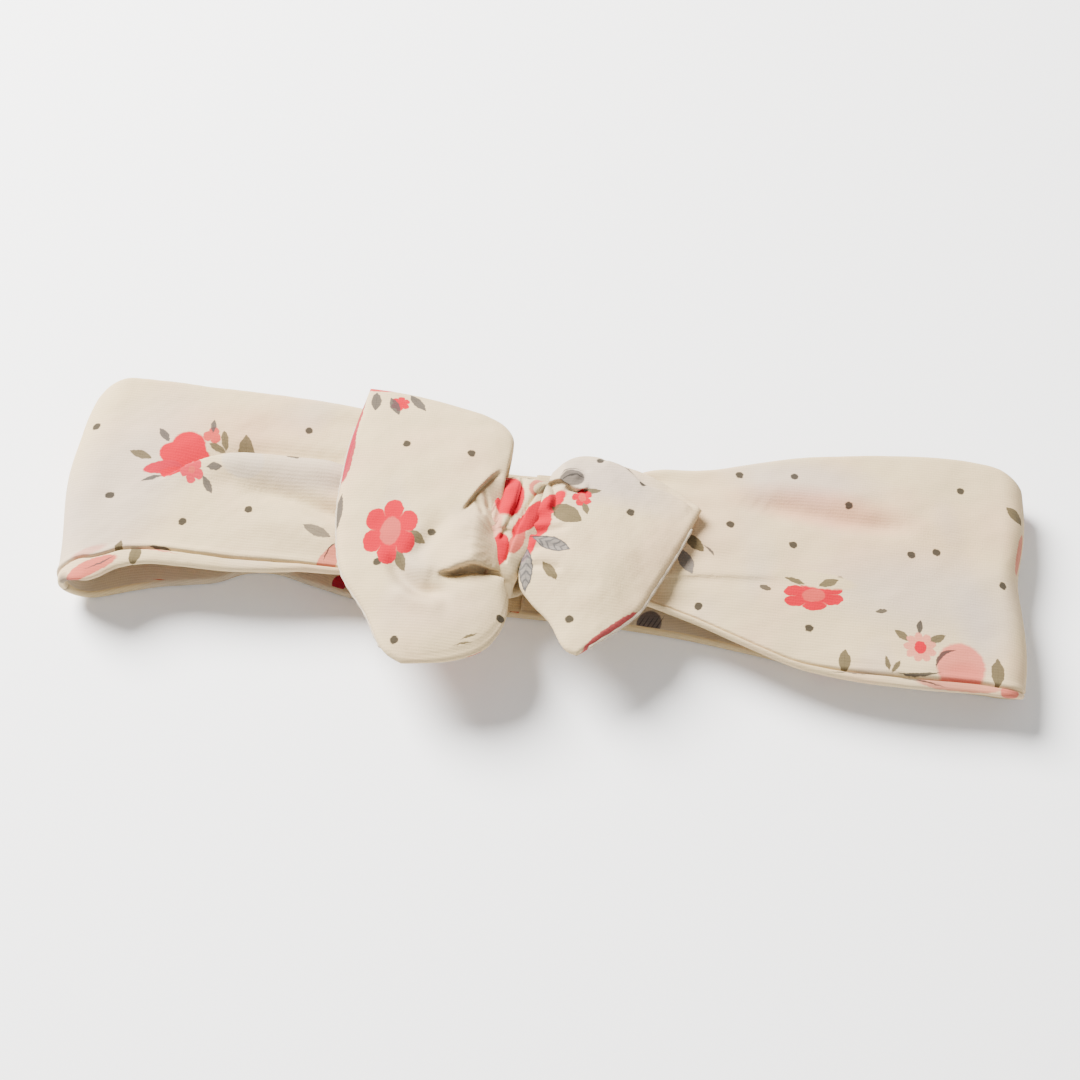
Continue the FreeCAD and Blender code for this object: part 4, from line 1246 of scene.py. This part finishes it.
# the threads of the lengthwise seam lie inside the tube
for body, seam_line in {
    "front_left": [(-83, -12.6, 12.9), (-66, -12.2, 12.4), (-48, -12, 11.7), (-30, -11.8, 11.1)],
    "front_right": [(80, -22.6, 10.1), (62, -21.6, 10.3), (46, -17.4, 10.4), (28, -12.4, 10.5)],
    "back_left": [(-81, -15.6, 1.1), (-66, -10.2, 1.1), (-50, -9, 1.1), (-30, -11, 1.1)],
    "back_right": [(75, -22.4, 1.1), (58, -19.6, 1.1), (42, -15.6, 1.1), (22, -13.3, 1.1)],
}.items():
    stitches(body, body, seam_line, thread)

# the closing seam's allowance lies inside the loop, with its overlocked edge
allowance_rows = np.linspace(-16.6, 17.0, 60)
section = np.linspace(0, math.tau, 41)[:-1]
swing = 0.15 * np.sin(allowance_rows / 3.0)[:, None]
allowance = np.stack([
    -0.7 + swing + 2.4 * squared_off(np.cos(section), 0.6),
    np.repeat(allowance_rows[:, None], 40, 1),
    2.62 + 0.12 * np.sin(allowance_rows / 2.2)[:, None] + 0.52 * squared_off(np.sin(section), 0.7),
], -1)
turned = allowance[..., :2] + (0, 30)
strip = grid_object("back_seam_allowance_strip", allowance, closed(turned), [plain], None, True, flip=True)
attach(strip, "back_seam")
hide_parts("back_seam_allowance")
stitches("back", "back_seam", [(1.2, -16, 3.2), (1.2, 0, 3.3), (1.2, 16.6, 3.2)], thread, 1.2, 1.0, 0.16)

# ---------------------------------------------------------------- stage, light and camera

floor_paint = bpy.data.materials.new("floor_paint")
floor_paint.use_nodes = True
matt = floor_paint.node_tree.nodes["Principled BSDF"].inputs
matt["Base Color"].default_value = (0.95, 0.95, 0.95, 1)
matt["Roughness"].default_value = 0.9
floor_mesh = bpy.data.meshes.new("floor")
floor_mesh.from_pydata([(-4, -4, 0), (4, -4, 0), (4, 4, 0), (-4, 4, 0)], [], [(0, 1, 2, 3)])
floor_mesh.materials.append(floor_paint)
floor = place("floor", floor_mesh)
floor.location.z = -0.0002


def area_light(name, at, aim, size, watts, colour=(1, 1, 1)):
    data = bpy.data.lights.new(name, "AREA")
    data.shape, data.size, data.energy, data.color = "DISK", size, watts, colour
    lamp = place(name, data)
    lamp.location = at
    lamp.rotation_mode = "QUATERNION"
    lamp.rotation_quaternion = (Vector(aim) - Vector(at)).to_track_quat("-Z", "Y")


area_light("key", (-0.60, 0.44, 0.72), (0, 0, 0.01), 0.60, 63.0, (1.0, 0.985, 0.965))
area_light("fill", (0.5, -0.7, 0.7), (0, 0, 0.01), 0.9, 4.0)
world = bpy.data.worlds.new("room")
bpy.context.scene.world = world
world.use_nodes = True
world.node_tree.nodes["Background"].inputs["Color"].default_value = (1.0, 1.0, 1.0, 1)
world.node_tree.nodes["Background"].inputs["Strength"].default_value = 0.46

camera = place("camera", bpy.data.cameras.new("camera"))
camera.data.lens, camera.data.sensor_width = 66.3, 36.0
azimuth, elevation = math.radians(6.32), math.radians(60.0)
level = math.cos(elevation)
back = Vector((math.sin(azimuth) * level, -math.cos(azimuth) * level, math.sin(elevation)))
camera.location = Vector((-0.0004, -0.0021, 0.008)) + back * 0.422
camera.rotation_mode = "QUATERNION"
camera.rotation_quaternion = (-back).to_track_quat("-Z", "Y")
camera.data.clip_start, camera.data.clip_end = 0.01, 20
bpy.context.scene.camera = camera
